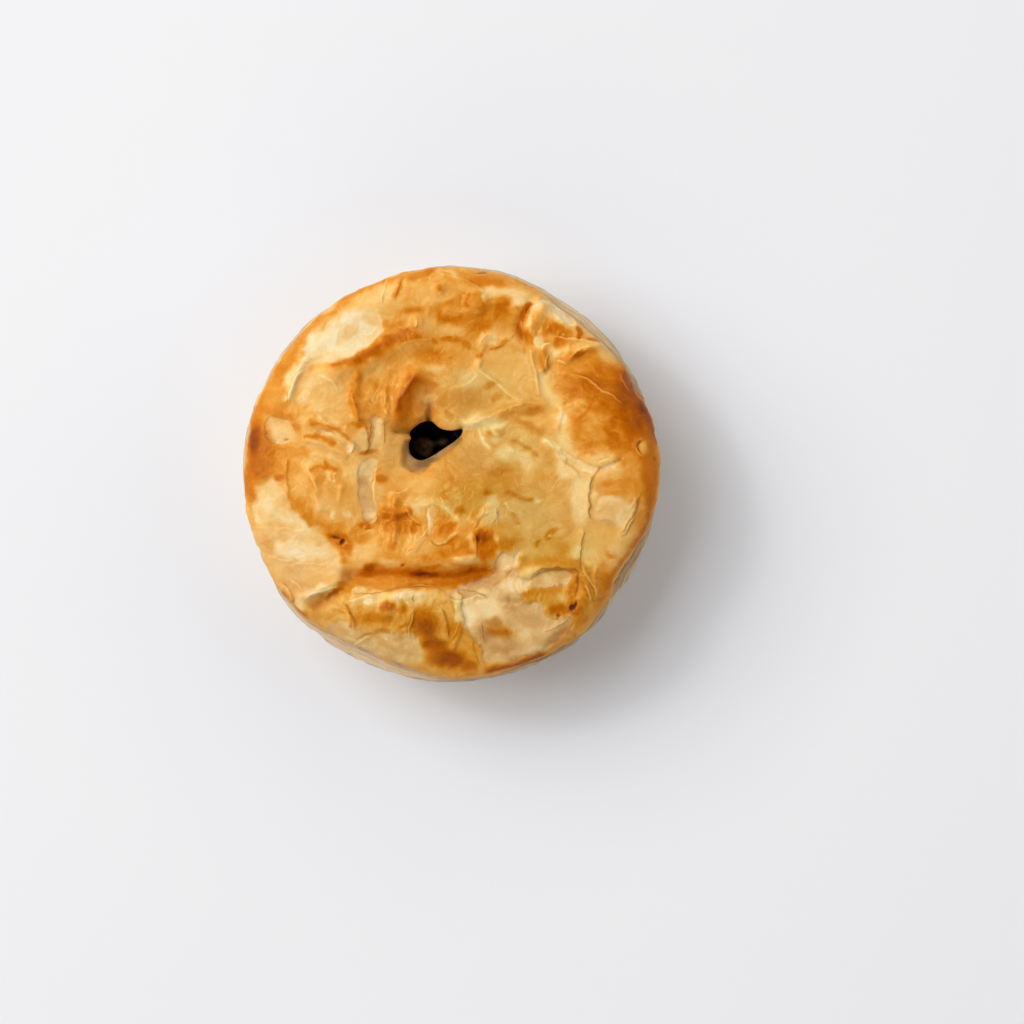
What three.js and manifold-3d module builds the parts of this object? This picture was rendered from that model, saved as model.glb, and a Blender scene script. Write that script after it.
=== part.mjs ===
// A party pie: a small round pie for one hand, with a shortcrust case, a dark filling and a flaky
// puff-pastry lid that has blistered, folded and flaked in the oven round a cut steam vent.
// Millimetres, +Z up. The origin is the middle of the flat base that the pie stands on.
import * as THREE from "three";
import { mergeVertices } from "three/addons/utils/BufferGeometryUtils.js";
import Module from "manifold-3d";

// Driving dimensions.
const RIM_RADIUS = 32.6; // widest ring of the case, just under the lid
const BASE_RADIUS = 27.4; // where the case meets the table
const RIM_HEIGHT = 19.2; // top of the case's rim
const CASE_WALL = 3.2;
const CASE_FLOOR = 3.0;
const BASE_ROUNDING = 1.2; // round of the base's edge
const RIM_BAND = 1.6; // upright band at the top of the case's side
const RIM_CHAMFER = 0.4;
const SIDE_CURVE = 0.9; // 1 is a straight lean, less is convex
const FLOOR_FILLET = 1.3; // inside corner between wall and floor
const LID_RADIUS = 32.2; // lid's edge before it shrank back in the oven
const LID_CROWN = 25.2; // height of the lid's level middle, before its relief
const LID_SHOULDER = 5.2; // how far in the lid's rounded edge reaches
const LID_SIDE = 1.6; // upright layered side of the lid, under that rounding
const LID_LIP = 0.4; // small chamfer at the foot of the lid's side
const SEAM_GAP = 0.3; // parting between case, filling and lid

// Worked out from them.
const LID_UNDERSIDE = RIM_HEIGHT + SEAM_GAP;
const LID_THICKNESS = LID_CROWN - LID_UNDERSIDE;
const FILLING_TOP = LID_UNDERSIDE - SEAM_GAP;
const RIM_INSIDE = RIM_RADIUS - CASE_WALL;
const FLOOR_INSIDE = BASE_RADIUS - CASE_WALL + 0.5 * FLOOR_FILLET;

// Fineness of the turned shapes.
const LID_STEPS = 108;
const LID_RINGS = 31;
const SHOULDER_STEPS = 8;
const CASE_STEPS = 64;
const CASE_SIDE_STEPS = 7;
const FILLING_STEPS = 40;
const FILLING_RINGS = 14;
const ROUTE_STEPS = 18; // straight runs along one fold
const VENT_STEPS = 48; // straight runs round the vent

// Gentle waves round the outside of the hand-pressed case.
const CASE_DENTS = [
  { waves: 5, depth: 0.16, phase: 0.8 },
  { waves: 8, depth: 0.12, phase: 2.4 },
];

// Stretches of the rim where the lid drew back from the case.
const DRAWN_BACK = [
  { name: "far right", angle: 50, depth: 1.5, spread: 17 },
  { name: "far left", angle: 142, depth: 0.6, spread: 16 },
  { name: "near left", angle: 246, depth: 1.9, spread: 19 },
  { name: "near", angle: 296, depth: 1.0, spread: 16 },
  { name: "near right", angle: 331, depth: 1.9, spread: 11 },
];

// Broad swells and hollows of the puffed lid.
// Places on the lid are [x, y] in the plan, turns are degrees anticlockwise, and a rise is upward.
const SWELLS = [
  { name: "right dome", at: [24, 9.5], reach: [7, 10.5], turn: 20, rise: 2.1 },
  { name: "left dome", at: [-23.5, 6], reach: [7, 9], turn: -10, rise: 1.3 },
  { name: "far left bank", at: [-14, 24.5], reach: [10, 4.5], turn: 30, rise: 0.9 },
  { name: "far bank", at: [4, 26.5], reach: [9, 4], turn: -8, rise: 1.2 },
  { name: "near lip", at: [-9, -21.5], reach: [12, 4.6], turn: 4, rise: 1.9 },
  { name: "near right bank", at: [13, -23], reach: [8, 5], turn: 35, rise: 1.1 },
  { name: "near left bank", at: [-25, -13], reach: [6, 8], turn: 35, rise: 0.5 },
  { name: "right bank", at: [25, -6], reach: [4.5, 5], turn: 0, rise: 1.0 },
  { name: "brow over the crease", at: [-3, -12], reach: [11, 2.6], turn: 0, rise: 1.1 },
  { name: "middle pillow", at: [5, -2.5], reach: [9, 4.5], turn: -8, rise: 0.8 },
  { name: "left pillow", at: [-17, -3], reach: [5, 5], turn: 0, rise: 0.7 },
  { name: "sunken sheet", at: [9, 14], reach: [7, 7], turn: 0, rise: -0.5 },
  { name: "vent funnel", at: [-3.2, 4.8], reach: [6, 4.6], turn: 15, rise: -1.7 },
  { name: "far blister", at: [4.3, 26.3], reach: [1.7, 1.6], turn: 0, rise: 0.7 },
];

// Ridges, and creases where the rise is negative, along smooth routes.
const FOLDS = [
  {
    name: "near crease",
    route: [[-15, -15.8], [-9, -15.6], [-3, -15.9], [2, -15.6], [7, -14.8]],
    width: 1.6,
    rise: -2.0,
  },
  {
    name: "torn far left lip",
    route: [[-18.5, 17.2], [-14, 18.1], [-11, 20], [-8, 21.8], [-4.8, 21.6]],
    width: 1.4,
    rise: 0.9,
  },
  { name: "ridge by the vent", route: [[-8, 9], [-7.2, 11.6], [-5, 15]], width: 1.5, rise: 1.2 },
  {
    name: "far right crease",
    route: [[12.6, 26.4], [11.2, 24.2], [10.8, 22.2], [12, 20]],
    width: 1.3,
    rise: -1.0,
  },
  {
    name: "far right ridge",
    route: [[14.4, 26], [13.2, 23.6], [13.1, 21.6], [14.6, 18.6]],
    width: 1.3,
    rise: 0.8,
  },
  {
    name: "near right flap",
    route: [[11, -16.2], [14, -14.6], [17.5, -14], [20.6, -15], [20.8, -18], [20, -21]],
    width: 1.3,
    rise: 0.8,
  },
  { name: "right ridge", route: [[18, 15.4], [22, 13.8], [26.5, 10.5]], width: 1.3, rise: 0.5 },
  { name: "right fold", route: [[18.5, 17.6], [20.5, 19], [23, 19.8]], width: 1.2, rise: 0.6 },
  {
    name: "sheet edge",
    route: [[3, 7.3], [7, 9], [10.5, 10.4], [14.2, 10.7]],
    width: 1.2,
    rise: 0.7,
  },
  { name: "left wrinkle", route: [[-21.5, 7.6], [-18.5, 6.6], [-15.5, 4.6]], width: 1.1, rise: 0.6 },
  { name: "left furrow", route: [[-22, 5.2], [-19, 4.2], [-16, 2.4]], width: 1.1, rise: -0.5 },
  {
    name: "strip left of the vent",
    route: [[-11.4, 8.4], [-12.2, 5], [-11.8, 1.5], [-13, -2.5], [-12.4, -6.4]],
    width: 1.3,
    rise: -0.7,
  },
  { name: "right crack", route: [[22.6, 1], [21.7, -2.5], [22, -7.2]], width: 1.0, rise: -0.5 },
  { name: "outer right crack", route: [[29, -3], [28.5, -6], [26.2, -9.8]], width: 1.0, rise: -0.5 },
  { name: "far vent slit", route: [[-3, 8.2], [-3, 10]], width: 1.1, rise: -1.2 },
  { name: "left vent slit", route: [[-6.2, 6.2], [-8.8, 6.5]], width: 1.1, rise: -0.9 },
  { name: "right vent slit", route: [[2, 6.6], [5.6, 7.2]], width: 1.0, rise: -0.8 },
];

// Patches where the lid's top leaf came away and a lower leaf shows.
const FLAKED_PATCHES = [
  { name: "far left", at: [-16.4, 21.2], reach: [6.6, 2.9], turn: 33, drop: 0.5 },
  { name: "near left", at: [-23.5, -12], reach: [7.5, 4.2], turn: -14, drop: 0.5 },
  { name: "near right", at: [11, -22], reach: [7.5, 5], turn: 20, drop: 0.6 },
  { name: "right", at: [25, -5.6], reach: [3, 3], turn: 0, drop: 0.5 },
  { name: "right strip", at: [18.4, 4], reach: [2.2, 7], turn: 14, drop: 0.4 },
  { name: "far right rim", at: [15.5, 26], reach: [4.4, 1.5], turn: -35, drop: 0.5 },
  { name: "left scab", at: [-26, 6.3], reach: [2.3, 1.9], turn: -20, drop: 0.4 },
];
const FLAKE_LOBES = 5; // waves round a patch's torn outline
const FLAKE_LOBE_DEPTH = 0.14;

// The steam vent: a crossed cut that opened into a ragged triangle.
const VENT_OUTLINE = [
  [-6.4, 4.5], [-6.1, 3.0], [-4.7, 2.1], [-3.2, 2.5], [-0.4, 4.2], [1.7, 5.9], [1.7, 6.9],
  [-0.9, 6.6], [-2.8, 8.0], [-4.6, 7.4], [-6.0, 6.2],
];

// The filling, seen through the vent: it has sunk there, and its lumps stand out of the gravy.
const FILLING_SINK = { at: [-2.8, 4.9], reach: [9, 8], turn: 15, rise: -4.0 };
const FILLING_LUMPS = [
  { name: "left lump", at: [-4.4, 4.2], reach: [1.5, 1.3], turn: 20, rise: 1.3 },
  { name: "right lump", at: [-1.1, 5.3], reach: [1.3, 1.2], turn: 0, rise: 1.2 },
  { name: "far lump", at: [-3.6, 8.2], reach: [1.8, 1.3], turn: 0, rise: 1.2 },
  { name: "near lump", at: [-2.4, 1.6], reach: [1.7, 1.4], turn: -30, rise: 1.3 },
  { name: "outer right lump", at: [2.6, 6.6], reach: [1.6, 1.5], turn: 0, rise: 1.1 },
  { name: "outer left lump", at: [-7.4, 6.4], reach: [1.6, 1.5], turn: 0, rise: 1.1 },
];

const { degToRad, smoothstep } = THREE.MathUtils;

// How far a point lies from a feature's middle, in shares of its reach.
function shareOfReach(x, y, { at, reach, turn }) {
  const angle = degToRad(turn);
  const along = (x - at[0]) * Math.cos(angle) + (y - at[1]) * Math.sin(angle);
  const across = (y - at[1]) * Math.cos(angle) - (x - at[0]) * Math.sin(angle);
  return {
    distance: Math.hypot(along / reach[0], across / reach[1]),
    bearing: Math.atan2(across / reach[1], along / reach[0]),
  };
}

// A round-topped swell, or a hollow where its rise is negative.
function swellRise(x, y, swell) {
  const { distance } = shareOfReach(x, y, swell);
  return swell.rise * Math.exp(-distance * distance);
}

// How far the surface drops where a leaf has come away, with a wavy torn edge.
function flakeDrop(x, y, patch) {
  const { distance, bearing } = shareOfReach(x, y, patch);
  const edge = 1 + FLAKE_LOBE_DEPTH * Math.sin(FLAKE_LOBES * bearing + patch.turn);
  return patch.drop * (1 - smoothstep(distance, edge - 0.12, edge + 0.12));
}

// The folds, each with the points of its smooth route.
const TRACED_FOLDS = FOLDS.map((fold) => {
  const corners = fold.route.map(([x, y]) => new THREE.Vector2(x, y));
  return { ...fold, points: new THREE.SplineCurve(corners).getPoints(ROUTE_STEPS) };
});

// The shortest way from a point to a traced route.
function distanceToRoute(x, y, points) {
  const place = new THREE.Vector3(x, y, 0);
  const nearest = new THREE.Vector3();
  const run = new THREE.Line3();
  let shortest = Infinity;
  for (let i = 1; i < points.length; i++) {
    run.start.set(points[i - 1].x, points[i - 1].y, 0);
    run.end.set(points[i].x, points[i].y, 0);
    run.closestPointToPoint(place, true, nearest);
    shortest = Math.min(shortest, nearest.distanceTo(place));
  }
  return shortest;
}

function foldRise(x, y, fold) {
  const share = distanceToRoute(x, y, fold.points) / fold.width;
  return fold.rise * Math.exp(-share * share);
}

// The whole relief of the lid's top at a place in the plan.
function lidRelief(x, y) {
  const total = (list, rise) => list.reduce((sum, feature) => sum + rise(x, y, feature), 0);
  return total(SWELLS, swellRise) + total(TRACED_FOLDS, foldRise) - total(FLAKED_PATCHES, flakeDrop);
}

// The lid's edge in a direction, drawn back in places.
function lidEdge(angle) {
  const turn = (THREE.MathUtils.radToDeg(angle) + 360) % 360;
  let radius = LID_RADIUS;
  for (const { angle: middle, depth, spread } of DRAWN_BACK) {
    const share = (turn - middle) / spread;
    radius -= depth * Math.exp(-share * share);
  }
  return radius;
}

// A solid turned about +Z from a profile of [radius, height] points that starts and ends on the axis.
function turned(profile, steps) {
  const points = profile.map(([radius, height]) => new THREE.Vector2(radius, height));
  const geometry = new THREE.LatheGeometry(points, steps).rotateX(Math.PI / 2);
  geometry.deleteAttribute("normal");
  geometry.deleteAttribute("uv");
  return mergeVertices(geometry, 1e-4);
}

// Moves every vertex of a geometry by a rule that takes and changes its place.
function moveVertices(geometry, rule) {
  const places = geometry.getAttribute("position");
  const place = new THREE.Vector3();
  for (let i = 0; i < places.count; i++) {
    rule(place.fromBufferAttribute(places, i));
    places.setXYZ(i, place.x, place.y, place.z);
  }
  return geometry;
}

const wasm = await Module();
wasm.setup();

// A closed geometry as a solid that can be cut.
function solidOf(geometry) {
  const triangles = [];
  const corners = geometry.index.array;
  for (let i = 0; i < corners.length; i += 3) {
    const [a, b, c] = corners.slice(i, i + 3);
    if (a !== b && b !== c && c !== a) triangles.push(a, b, c);
  }
  const vertProperties = geometry.getAttribute("position").array;
  return new wasm.Manifold(
    new wasm.Mesh({ numProp: 3, vertProperties, triVerts: new Uint32Array(triangles) }),
  );
}

function geometryOf(solid) {
  const { vertProperties, triVerts } = solid.getMesh();
  const geometry = new THREE.BufferGeometry();
  geometry.setAttribute("position", new THREE.BufferAttribute(vertProperties, 3));
  geometry.setIndex(new THREE.BufferAttribute(triVerts, 1));
  geometry.computeVertexNormals();
  return geometry;
}

// The case's outside radius at a height: its side leans out and is a little convex.
function caseSide(height) {
  return BASE_RADIUS + (RIM_RADIUS - BASE_RADIUS) * Math.pow(height / RIM_HEIGHT, SIDE_CURVE);
}

// Dents of the hand-pressed outside, in and out of the turned shape.
function caseDent(angle) {
  const wave = ({ waves, depth, phase }) => depth * Math.sin(waves * angle + phase);
  return CASE_DENTS.reduce((sum, dent) => sum + wave(dent), 0);
}

// The case: a cup with a flat base, sides that lean out and an upright rim under the lid.
function caseGeometry() {
  const profile = [
    [0, 0],
    [BASE_RADIUS / 2, 0],
    [BASE_RADIUS - BASE_ROUNDING, 0],
    [BASE_RADIUS - 0.2 * BASE_ROUNDING, 0.5 * BASE_ROUNDING],
  ];
  const sideTop = RIM_HEIGHT - 2 * RIM_BAND;
  for (let step = 0; step <= CASE_SIDE_STEPS; step++) {
    const height = THREE.MathUtils.lerp(2 * BASE_ROUNDING, sideTop, step / CASE_SIDE_STEPS);
    profile.push([caseSide(height), height]);
  }
  profile.push(
    [RIM_RADIUS, RIM_HEIGHT - RIM_BAND],
    [RIM_RADIUS, RIM_HEIGHT - RIM_CHAMFER],
    [RIM_RADIUS - RIM_CHAMFER, RIM_HEIGHT],
    [RIM_INSIDE, RIM_HEIGHT],
    [(RIM_INSIDE + FLOOR_INSIDE) / 2, (RIM_HEIGHT + CASE_FLOOR) / 2],
    [FLOOR_INSIDE, CASE_FLOOR + FLOOR_FILLET],
    [FLOOR_INSIDE - FLOOR_FILLET, CASE_FLOOR],
    [0, CASE_FLOOR],
  );
  return moveVertices(turned(profile, CASE_STEPS), (place) => {
    const radius = Math.hypot(place.x, place.y);
    if (radius < caseSide(place.z) - CASE_WALL / 2) return;
    const raised = smoothstep(place.z, 0, 4 * BASE_ROUNDING);
    const grown = 1 + (raised * caseDent(Math.atan2(place.y, place.x))) / radius;
    place.x *= grown;
    place.y *= grown;
  });
}

// The filling: fills the case up to the lid, and sinks under the vent.
function fillingGeometry() {
  const top = RIM_INSIDE - SEAM_GAP;
  const bottom = FLOOR_INSIDE - SEAM_GAP;
  const profile = [
    [0, CASE_FLOOR + SEAM_GAP],
    [bottom - FLOOR_FILLET, CASE_FLOOR + SEAM_GAP],
    [bottom, CASE_FLOOR + SEAM_GAP + FLOOR_FILLET],
    [(top + bottom) / 2, (RIM_HEIGHT + CASE_FLOOR) / 2],
  ];
  for (let ring = 0; ring <= FILLING_RINGS; ring++) {
    profile.push([top * (1 - ring / FILLING_RINGS), FILLING_TOP]);
  }
  return moveVertices(turned(profile, FILLING_STEPS), (place) => {
    if (place.z < FILLING_TOP - SEAM_GAP) return;
    const lumps = FILLING_LUMPS.reduce((sum, lump) => sum + swellRise(place.x, place.y, lump), 0);
    const level = FILLING_TOP + swellRise(place.x, place.y, FILLING_SINK) + lumps;
    place.z = Math.min(level, FILLING_TOP);
  });
}

// The prism that opens the vent, from under the lid to above it.
function ventSolid() {
  const corners = VENT_OUTLINE.map(([x, y]) => new THREE.Vector3(x, y, 0));
  const loop = new THREE.CatmullRomCurve3(corners, true, "centripetal").getPoints(VENT_STEPS);
  const outline = new THREE.Shape(loop.slice(0, -1).map(({ x, y }) => new THREE.Vector2(x, y)));
  const depth = 2 * LID_THICKNESS + 2;
  const prism = new THREE.ExtrudeGeometry(outline, { depth, bevelEnabled: false, steps: 1 });
  prism.translate(0, 0, LID_UNDERSIDE - 1);
  prism.deleteAttribute("normal");
  prism.deleteAttribute("uv");
  return solidOf(mergeVertices(prism, 1e-4));
}

// The lid: a puffed disc with a rounded edge, its top in relief, cut through by the vent.
function lidGeometry() {
  const flat = LID_RADIUS - LID_SHOULDER;
  const profile = [
    [0, LID_UNDERSIDE],
    [flat * 0.45, LID_UNDERSIDE],
    [flat * 0.8, LID_UNDERSIDE],
    [flat + 1.6, LID_UNDERSIDE],
    [LID_RADIUS - LID_LIP, LID_UNDERSIDE],
    [LID_RADIUS, LID_UNDERSIDE + LID_LIP],
  ];
  for (let step = 0; step <= SHOULDER_STEPS; step++) {
    const angle = (step / SHOULDER_STEPS) * (Math.PI / 2);
    profile.push([
      flat + LID_SHOULDER * Math.cos(angle),
      LID_UNDERSIDE + LID_SIDE + (LID_THICKNESS - LID_SIDE) * Math.sin(angle),
    ]);
  }
  for (let ring = 1; ring <= LID_RINGS; ring++) {
    profile.push([flat * (1 - ring / LID_RINGS), LID_CROWN]);
  }
  const puffed = moveVertices(turned(profile, LID_STEPS), (place) => {
    const radius = Math.hypot(place.x, place.y);
    const drawn = lidEdge(Math.atan2(place.y, place.x)) / LID_RADIUS - 1;
    const grown = 1 + drawn * smoothstep(radius, 0.6 * LID_RADIUS, LID_RADIUS);
    place.x *= grown;
    place.y *= grown;
    const topShare = smoothstep(place.z, LID_UNDERSIDE + LID_SIDE, LID_CROWN);
    place.z += topShare * lidRelief(place.x, place.y);
  });
  return geometryOf(solidOf(puffed).subtract(ventSolid()));
}

const pale = new THREE.MeshStandardMaterial({ color: 0xe3c48c, roughness: 0.8, metalness: 0 });
const golden = new THREE.MeshStandardMaterial({ color: 0xdda24e, roughness: 0.4, metalness: 0 });
const gravy = new THREE.MeshStandardMaterial({ color: 0x1c100a, roughness: 0.3, metalness: 0 });

function piece(name, geometry, material) {
  const mesh = new THREE.Mesh(geometry, material);
  mesh.name = name;
  return mesh;
}

const pie = new THREE.Group();
pie.add(piece("pastry_case", caseGeometry(), pale));
pie.add(piece("filling", fillingGeometry(), gravy));
pie.add(piece("pastry_lid", lidGeometry(), golden));

export default pie;
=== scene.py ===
"""A party pie dressed for its portrait.

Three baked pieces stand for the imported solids: the blistered puff-pastry lid, the shortcrust case and
the dark filling that shows in the steam vent. Sizes are millimetres unless a name says otherwise, and a
place on the lid is (x, y) in plan, with +X to the right and +Y away from the viewer.
"""
import logging
import math
from dataclasses import dataclass, field
from enum import Enum
from itertools import pairwise
from typing import Any, Iterable, Sequence

import bmesh
import bpy
import numpy as np
from mathutils import Matrix, Vector


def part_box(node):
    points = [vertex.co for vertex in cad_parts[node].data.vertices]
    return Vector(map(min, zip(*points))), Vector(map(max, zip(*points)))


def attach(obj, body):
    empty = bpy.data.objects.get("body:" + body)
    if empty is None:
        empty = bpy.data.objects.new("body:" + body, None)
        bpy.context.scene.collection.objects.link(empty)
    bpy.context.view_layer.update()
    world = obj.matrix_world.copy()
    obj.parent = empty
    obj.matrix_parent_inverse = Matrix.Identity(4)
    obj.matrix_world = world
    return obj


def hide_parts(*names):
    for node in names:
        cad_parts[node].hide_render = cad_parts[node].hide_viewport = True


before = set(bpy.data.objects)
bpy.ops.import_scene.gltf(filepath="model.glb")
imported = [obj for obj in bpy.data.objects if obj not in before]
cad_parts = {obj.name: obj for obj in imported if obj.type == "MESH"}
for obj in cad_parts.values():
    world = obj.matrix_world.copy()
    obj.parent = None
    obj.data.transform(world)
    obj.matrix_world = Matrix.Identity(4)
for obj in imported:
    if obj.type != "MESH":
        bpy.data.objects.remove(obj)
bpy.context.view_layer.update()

log = logging.getLogger("party_pie")

MM = 0.001
BODY = "root"
MERGE_DISTANCE = 1e-4

Array = np.ndarray
Point = tuple[float, float]
Colour = tuple[float, float, float, float]


class Mask(Enum):
    """What each vertex of the pastry carries for its finish to read."""

    # Browning; on the lid it also holds painted shade under folds and on the near side
    BROWN = "brown"
    UNDER = "under"
    TORN = "torn"
    BARE = "bare"
    EDGE = "edge"
    # The next two: paler leaf edges with painted highlight, and painted shadow below the edges
    PALE_EDGE_AND_HIGHLIGHT = "pale"
    DARK = "dark"
    CLEFT = "cleft"
    CRACK = "crack"
    PIT = "pit"
    # Painted shade: in the lid's vent and its slits, and the lid's shadow on the case's rim
    DEPTH = "depth"
    GLAZE = "glaze"
    SALLOW = "sallow"


# Plane geometry shared by the pieces

def ease(value: Array, low: float, high: float) -> Array:
    """Smooth step from 0 at low to 1 at high.

    Args:
        value: Numbers to ease.
        low: Where the step starts.
        high: Where it ends.

    Returns:
        The eased numbers.
    """
    share = np.clip((value - low) / (high - low), 0.0, 1.0)
    return share * share * (3.0 - 2.0 * share)


def bell(value: Array) -> Array:
    """A round bump: 1 at zero, nearly 0 from 2 on."""
    return np.exp(-value * value)


def smooth_route(points: Sequence[Point], closed: bool = False, steps: int = 6) -> Array:
    """Traces a smooth curve through points.

    Args:
        points: Places that the curve passes through.
        closed: Whether the curve comes back to its start.
        steps: Straight runs between two points.

    Returns:
        The traced points, one row each, with the first repeated at the end if closed.
    """
    given = np.array(points, float)
    if closed:
        padded = np.vstack((given[-1], given, given[:2]))
    else:
        padded = np.vstack((2 * given[0] - given[1], given, 2 * given[-1] - given[-2]))
    share = np.linspace(0.0, 1.0, steps, endpoint=False)[:, None]
    runs = []
    for before, start, end, after in zip(padded, padded[1:], padded[2:], padded[3:]):
        bend = 2 * before - 5 * start + 4 * end - after
        twist = 3 * (start - end) + after - before
        runs.append(start + 0.5 * share * (end - before + share * (bend + share * twist)))
    runs.append(padded[-2][None])
    return np.vstack(runs)


@dataclass(frozen=True)
class Nearest:
    """The closest places on a route, for many places at once."""

    distance: Array
    x: Array
    y: Array
    side: Array
    along: Array


def nearest_on_route(route: Array, x: Array, y: Array) -> Nearest:
    """Finds the closest place on a traced route.

    Args:
        route: Traced points, one row each.
        x: Places across.
        y: Places away.

    Returns:
        The closest places: side is 1 on the left of the route and -1 on its right, along is 0 to 1.
    """
    best = np.full(x.shape, np.inf)
    near_x, near_y, side, along = (np.zeros_like(best) for _ in range(4))
    travelled = 0.0
    for (ax, ay), (bx, by) in pairwise(route):
        run_x, run_y = bx - ax, by - ay
        run = max(math.hypot(run_x, run_y), 1e-9)
        share = np.clip(((x - ax) * run_x + (y - ay) * run_y) / run**2, 0.0, 1.0)
        px, py = ax + share * run_x, ay + share * run_y
        gap = np.hypot(x - px, y - py)
        closer = gap < best
        best = np.where(closer, gap, best)
        near_x = np.where(closer, px, near_x)
        near_y = np.where(closer, py, near_y)
        side = np.where(closer, np.sign(run_x * (y - ay) - run_y * (x - ax)), side)
        along = np.where(closer, travelled + share * run, along)
        travelled += run
    return Nearest(best, near_x, near_y, side, along / travelled)


def close_to_route(route: Array, reach: float, x: Array, y: Array) -> Array:
    """Tells which places lie in a route's box, widened by a reach."""
    low, high = route.min(0) - reach, route.max(0) + reach
    return (x > low[0]) & (x < high[0]) & (y > low[1]) & (y < high[1])


def inside_route(route: Array, x: Array, y: Array) -> Array:
    """Tells which places lie inside a closed route.

    Args:
        route: Traced points of a closed curve.
        x: Places across.
        y: Places away.

    Returns:
        True where a place is inside.
    """
    inside = np.zeros(x.shape, bool)
    for (ax, ay), (bx, by) in pairwise(route):
        if ay == by:
            continue
        crosses = (ay > y) != (by > y)
        inside ^= crosses & (x < ax + (y - ay) * (bx - ax) / (by - ay))
    return inside


class Grain:
    """Seeded smooth noise in the plane, from about -1 to 1."""

    CELLS = 128

    def __init__(self, seed: int) -> None:
        """Draws the slopes at the corners of the noise's cells.

        Args:
            seed: The seed of the random draws.
        """
        turns = np.random.default_rng(seed).uniform(0.0, 2.0 * math.pi, (self.CELLS, self.CELLS))
        self.slope_x = np.cos(turns)
        self.slope_y = np.sin(turns)

    def at(self, x: Array, y: Array, size: float) -> Array:
        """Reads the noise.

        Args:
            x: Places across.
            y: Places away.
            size: Size of one cell.

        Returns:
            The noise at each place.
        """
        u, v = x / size, y / size
        column, row = np.floor(u).astype(int), np.floor(v).astype(int)
        u, v = u - column, v - row
        total = np.zeros_like(u)
        for right, up in ((0, 0), (1, 0), (0, 1), (1, 1)):
            corner = (column + right) % self.CELLS, (row + up) % self.CELLS
            slope = self.slope_x[corner] * (u - right) + self.slope_y[corner] * (v - up)
            total += slope * ease(u if right else 1 - u, 0, 1) * ease(v if up else 1 - v, 0, 1)
        return 1.5 * total

    def cloud(self, x: Array, y: Array, size: float, octaves: int = 3) -> Array:
        """Sums the noise over halving sizes.

        Args:
            x: Places across.
            y: Places away.
            size: Size of the largest cells.
            octaves: How many sizes are summed.

        Returns:
            The summed noise at each place.
        """
        layers = range(octaves)
        return sum(self.at(x + 17.3 * n, y - 9.1 * n, size / 2**n) / 2**n for n in layers)

    def wrinkles(self, x: Array, y: Array, size: float, octaves: int = 2) -> Array:
        """Sharp crests where the noise passes zero, from 0 to 1.

        Args:
            x: Places across.
            y: Places away.
            size: Size of the largest cells.
            octaves: How many sizes are summed.

        Returns:
            The height of the crests at each place.
        """
        total, weight = np.zeros_like(x), 0.0
        for n in range(octaves):
            crest = 1.0 - np.minimum(np.abs(2.2 * self.at(x - 5.7 * n, y + 3.9 * n, size / 2**n)), 1.0)
            total += crest * crest / 2**n
            weight += 1.0 / 2**n
        return total / weight


# Features of the lid

@dataclass(frozen=True)
class Patch:
    """An oval of the lid with a soft edge, and the level that it brings."""

    x: float
    y: float
    long: float
    wide: float
    turn: float
    level: float
    soft: float = 0.5
    strength: float = 1.0

    def cover(self, x: Array, y: Array) -> Array:
        """Tells how much of the oval each place has.

        Args:
            x: Places across.
            y: Places away.

        Returns:
            From 0 outside the oval to its strength in the middle.
        """
        turn = math.radians(self.turn)
        along = (x - self.x) * math.cos(turn) + (y - self.y) * math.sin(turn)
        across = (y - self.y) * math.cos(turn) - (x - self.x) * math.sin(turn)
        share = np.hypot(along / self.long, across / self.wide)
        return self.strength * (1.0 - ease(share, 1.0 - self.soft, 1.0 + self.soft))


@dataclass(frozen=True)
class Streak:
    """A soft stroke along a smooth route, and the level that it brings."""

    points: tuple[Point, ...]
    width: float
    level: float

    def cover(self, x: Array, y: Array) -> Array:
        """Tells how much of the stroke each place has.

        Args:
            x: Places across.
            y: Places away.

        Returns:
            From 0 away from the stroke to 1 along its middle.
        """
        route = smooth_route(self.points)
        near = close_to_route(route, 2.2 * self.width, x, y)
        cover = np.zeros_like(x)
        cover[near] = bell(nearest_on_route(route, x[near], y[near]).distance / self.width)
        return cover


@dataclass(frozen=True)
class Flake:
    """A place where the lid's top leaf came away along a torn outline."""

    outline: tuple[Point, ...]
    drop: float
    level: float = 0.1
    bare: float = 0.5
    soft: float = 0.45

    @property
    def fades(self) -> bool:
        """Whether the edge is too soft to show as a torn line."""
        return self.soft > 0.5

    def inset(self, x: Array, y: Array) -> Array:
        """Measures from the torn edge.

        Args:
            x: Places across.
            y: Places away.

        Returns:
            The distance in from the edge, below zero outside it.
        """
        route = smooth_route(self.outline, closed=True, steps=4)
        near = close_to_route(route, 2.0, x, y)
        inset = np.full_like(x, -2.0)
        distance = nearest_on_route(route, x[near], y[near]).distance
        inset[near] = np.where(inside_route(route, x[near], y[near]), distance, -distance)
        return inset


@dataclass(frozen=True)
class Lip:
    """The edge of a leaf that lies over its neighbour. The leaf is on the left of the route."""

    points: tuple[Point, ...]
    rise: float = 0.3
    reach: float = 0.9
    # pale: a paler edge with painted highlight on the leaf's side; dark: painted shadow on the side below
    pale: float = 0.10
    dark: float = 0.12

    def lie(self, x: Array, y: Array) -> tuple[Array, Array, Array]:
        """Lays the edge down.

        Args:
            x: Places across.
            y: Places away.

        Returns:
            The rise of the surface, how far over the leaf a place is, and how whole the edge is there.
        """
        route = smooth_route(self.points)
        near = close_to_route(route, 3.0 * self.reach, x, y)
        over, whole = np.full_like(x, 9.0), np.zeros_like(x)
        spot = nearest_on_route(route, x[near], y[near])
        over[near] = spot.distance * spot.side
        whole[near] = ease(spot.along, 0.0, 0.2) * ease(1 - spot.along, 0.0, 0.2)
        rise = self.rise * whole * ease(over, -0.14, 0.14) * np.exp(-np.maximum(over, 0.0) / self.reach)
        return rise, over, whole * (1 - ease(np.abs(over), 0.5, 1.0))


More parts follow.
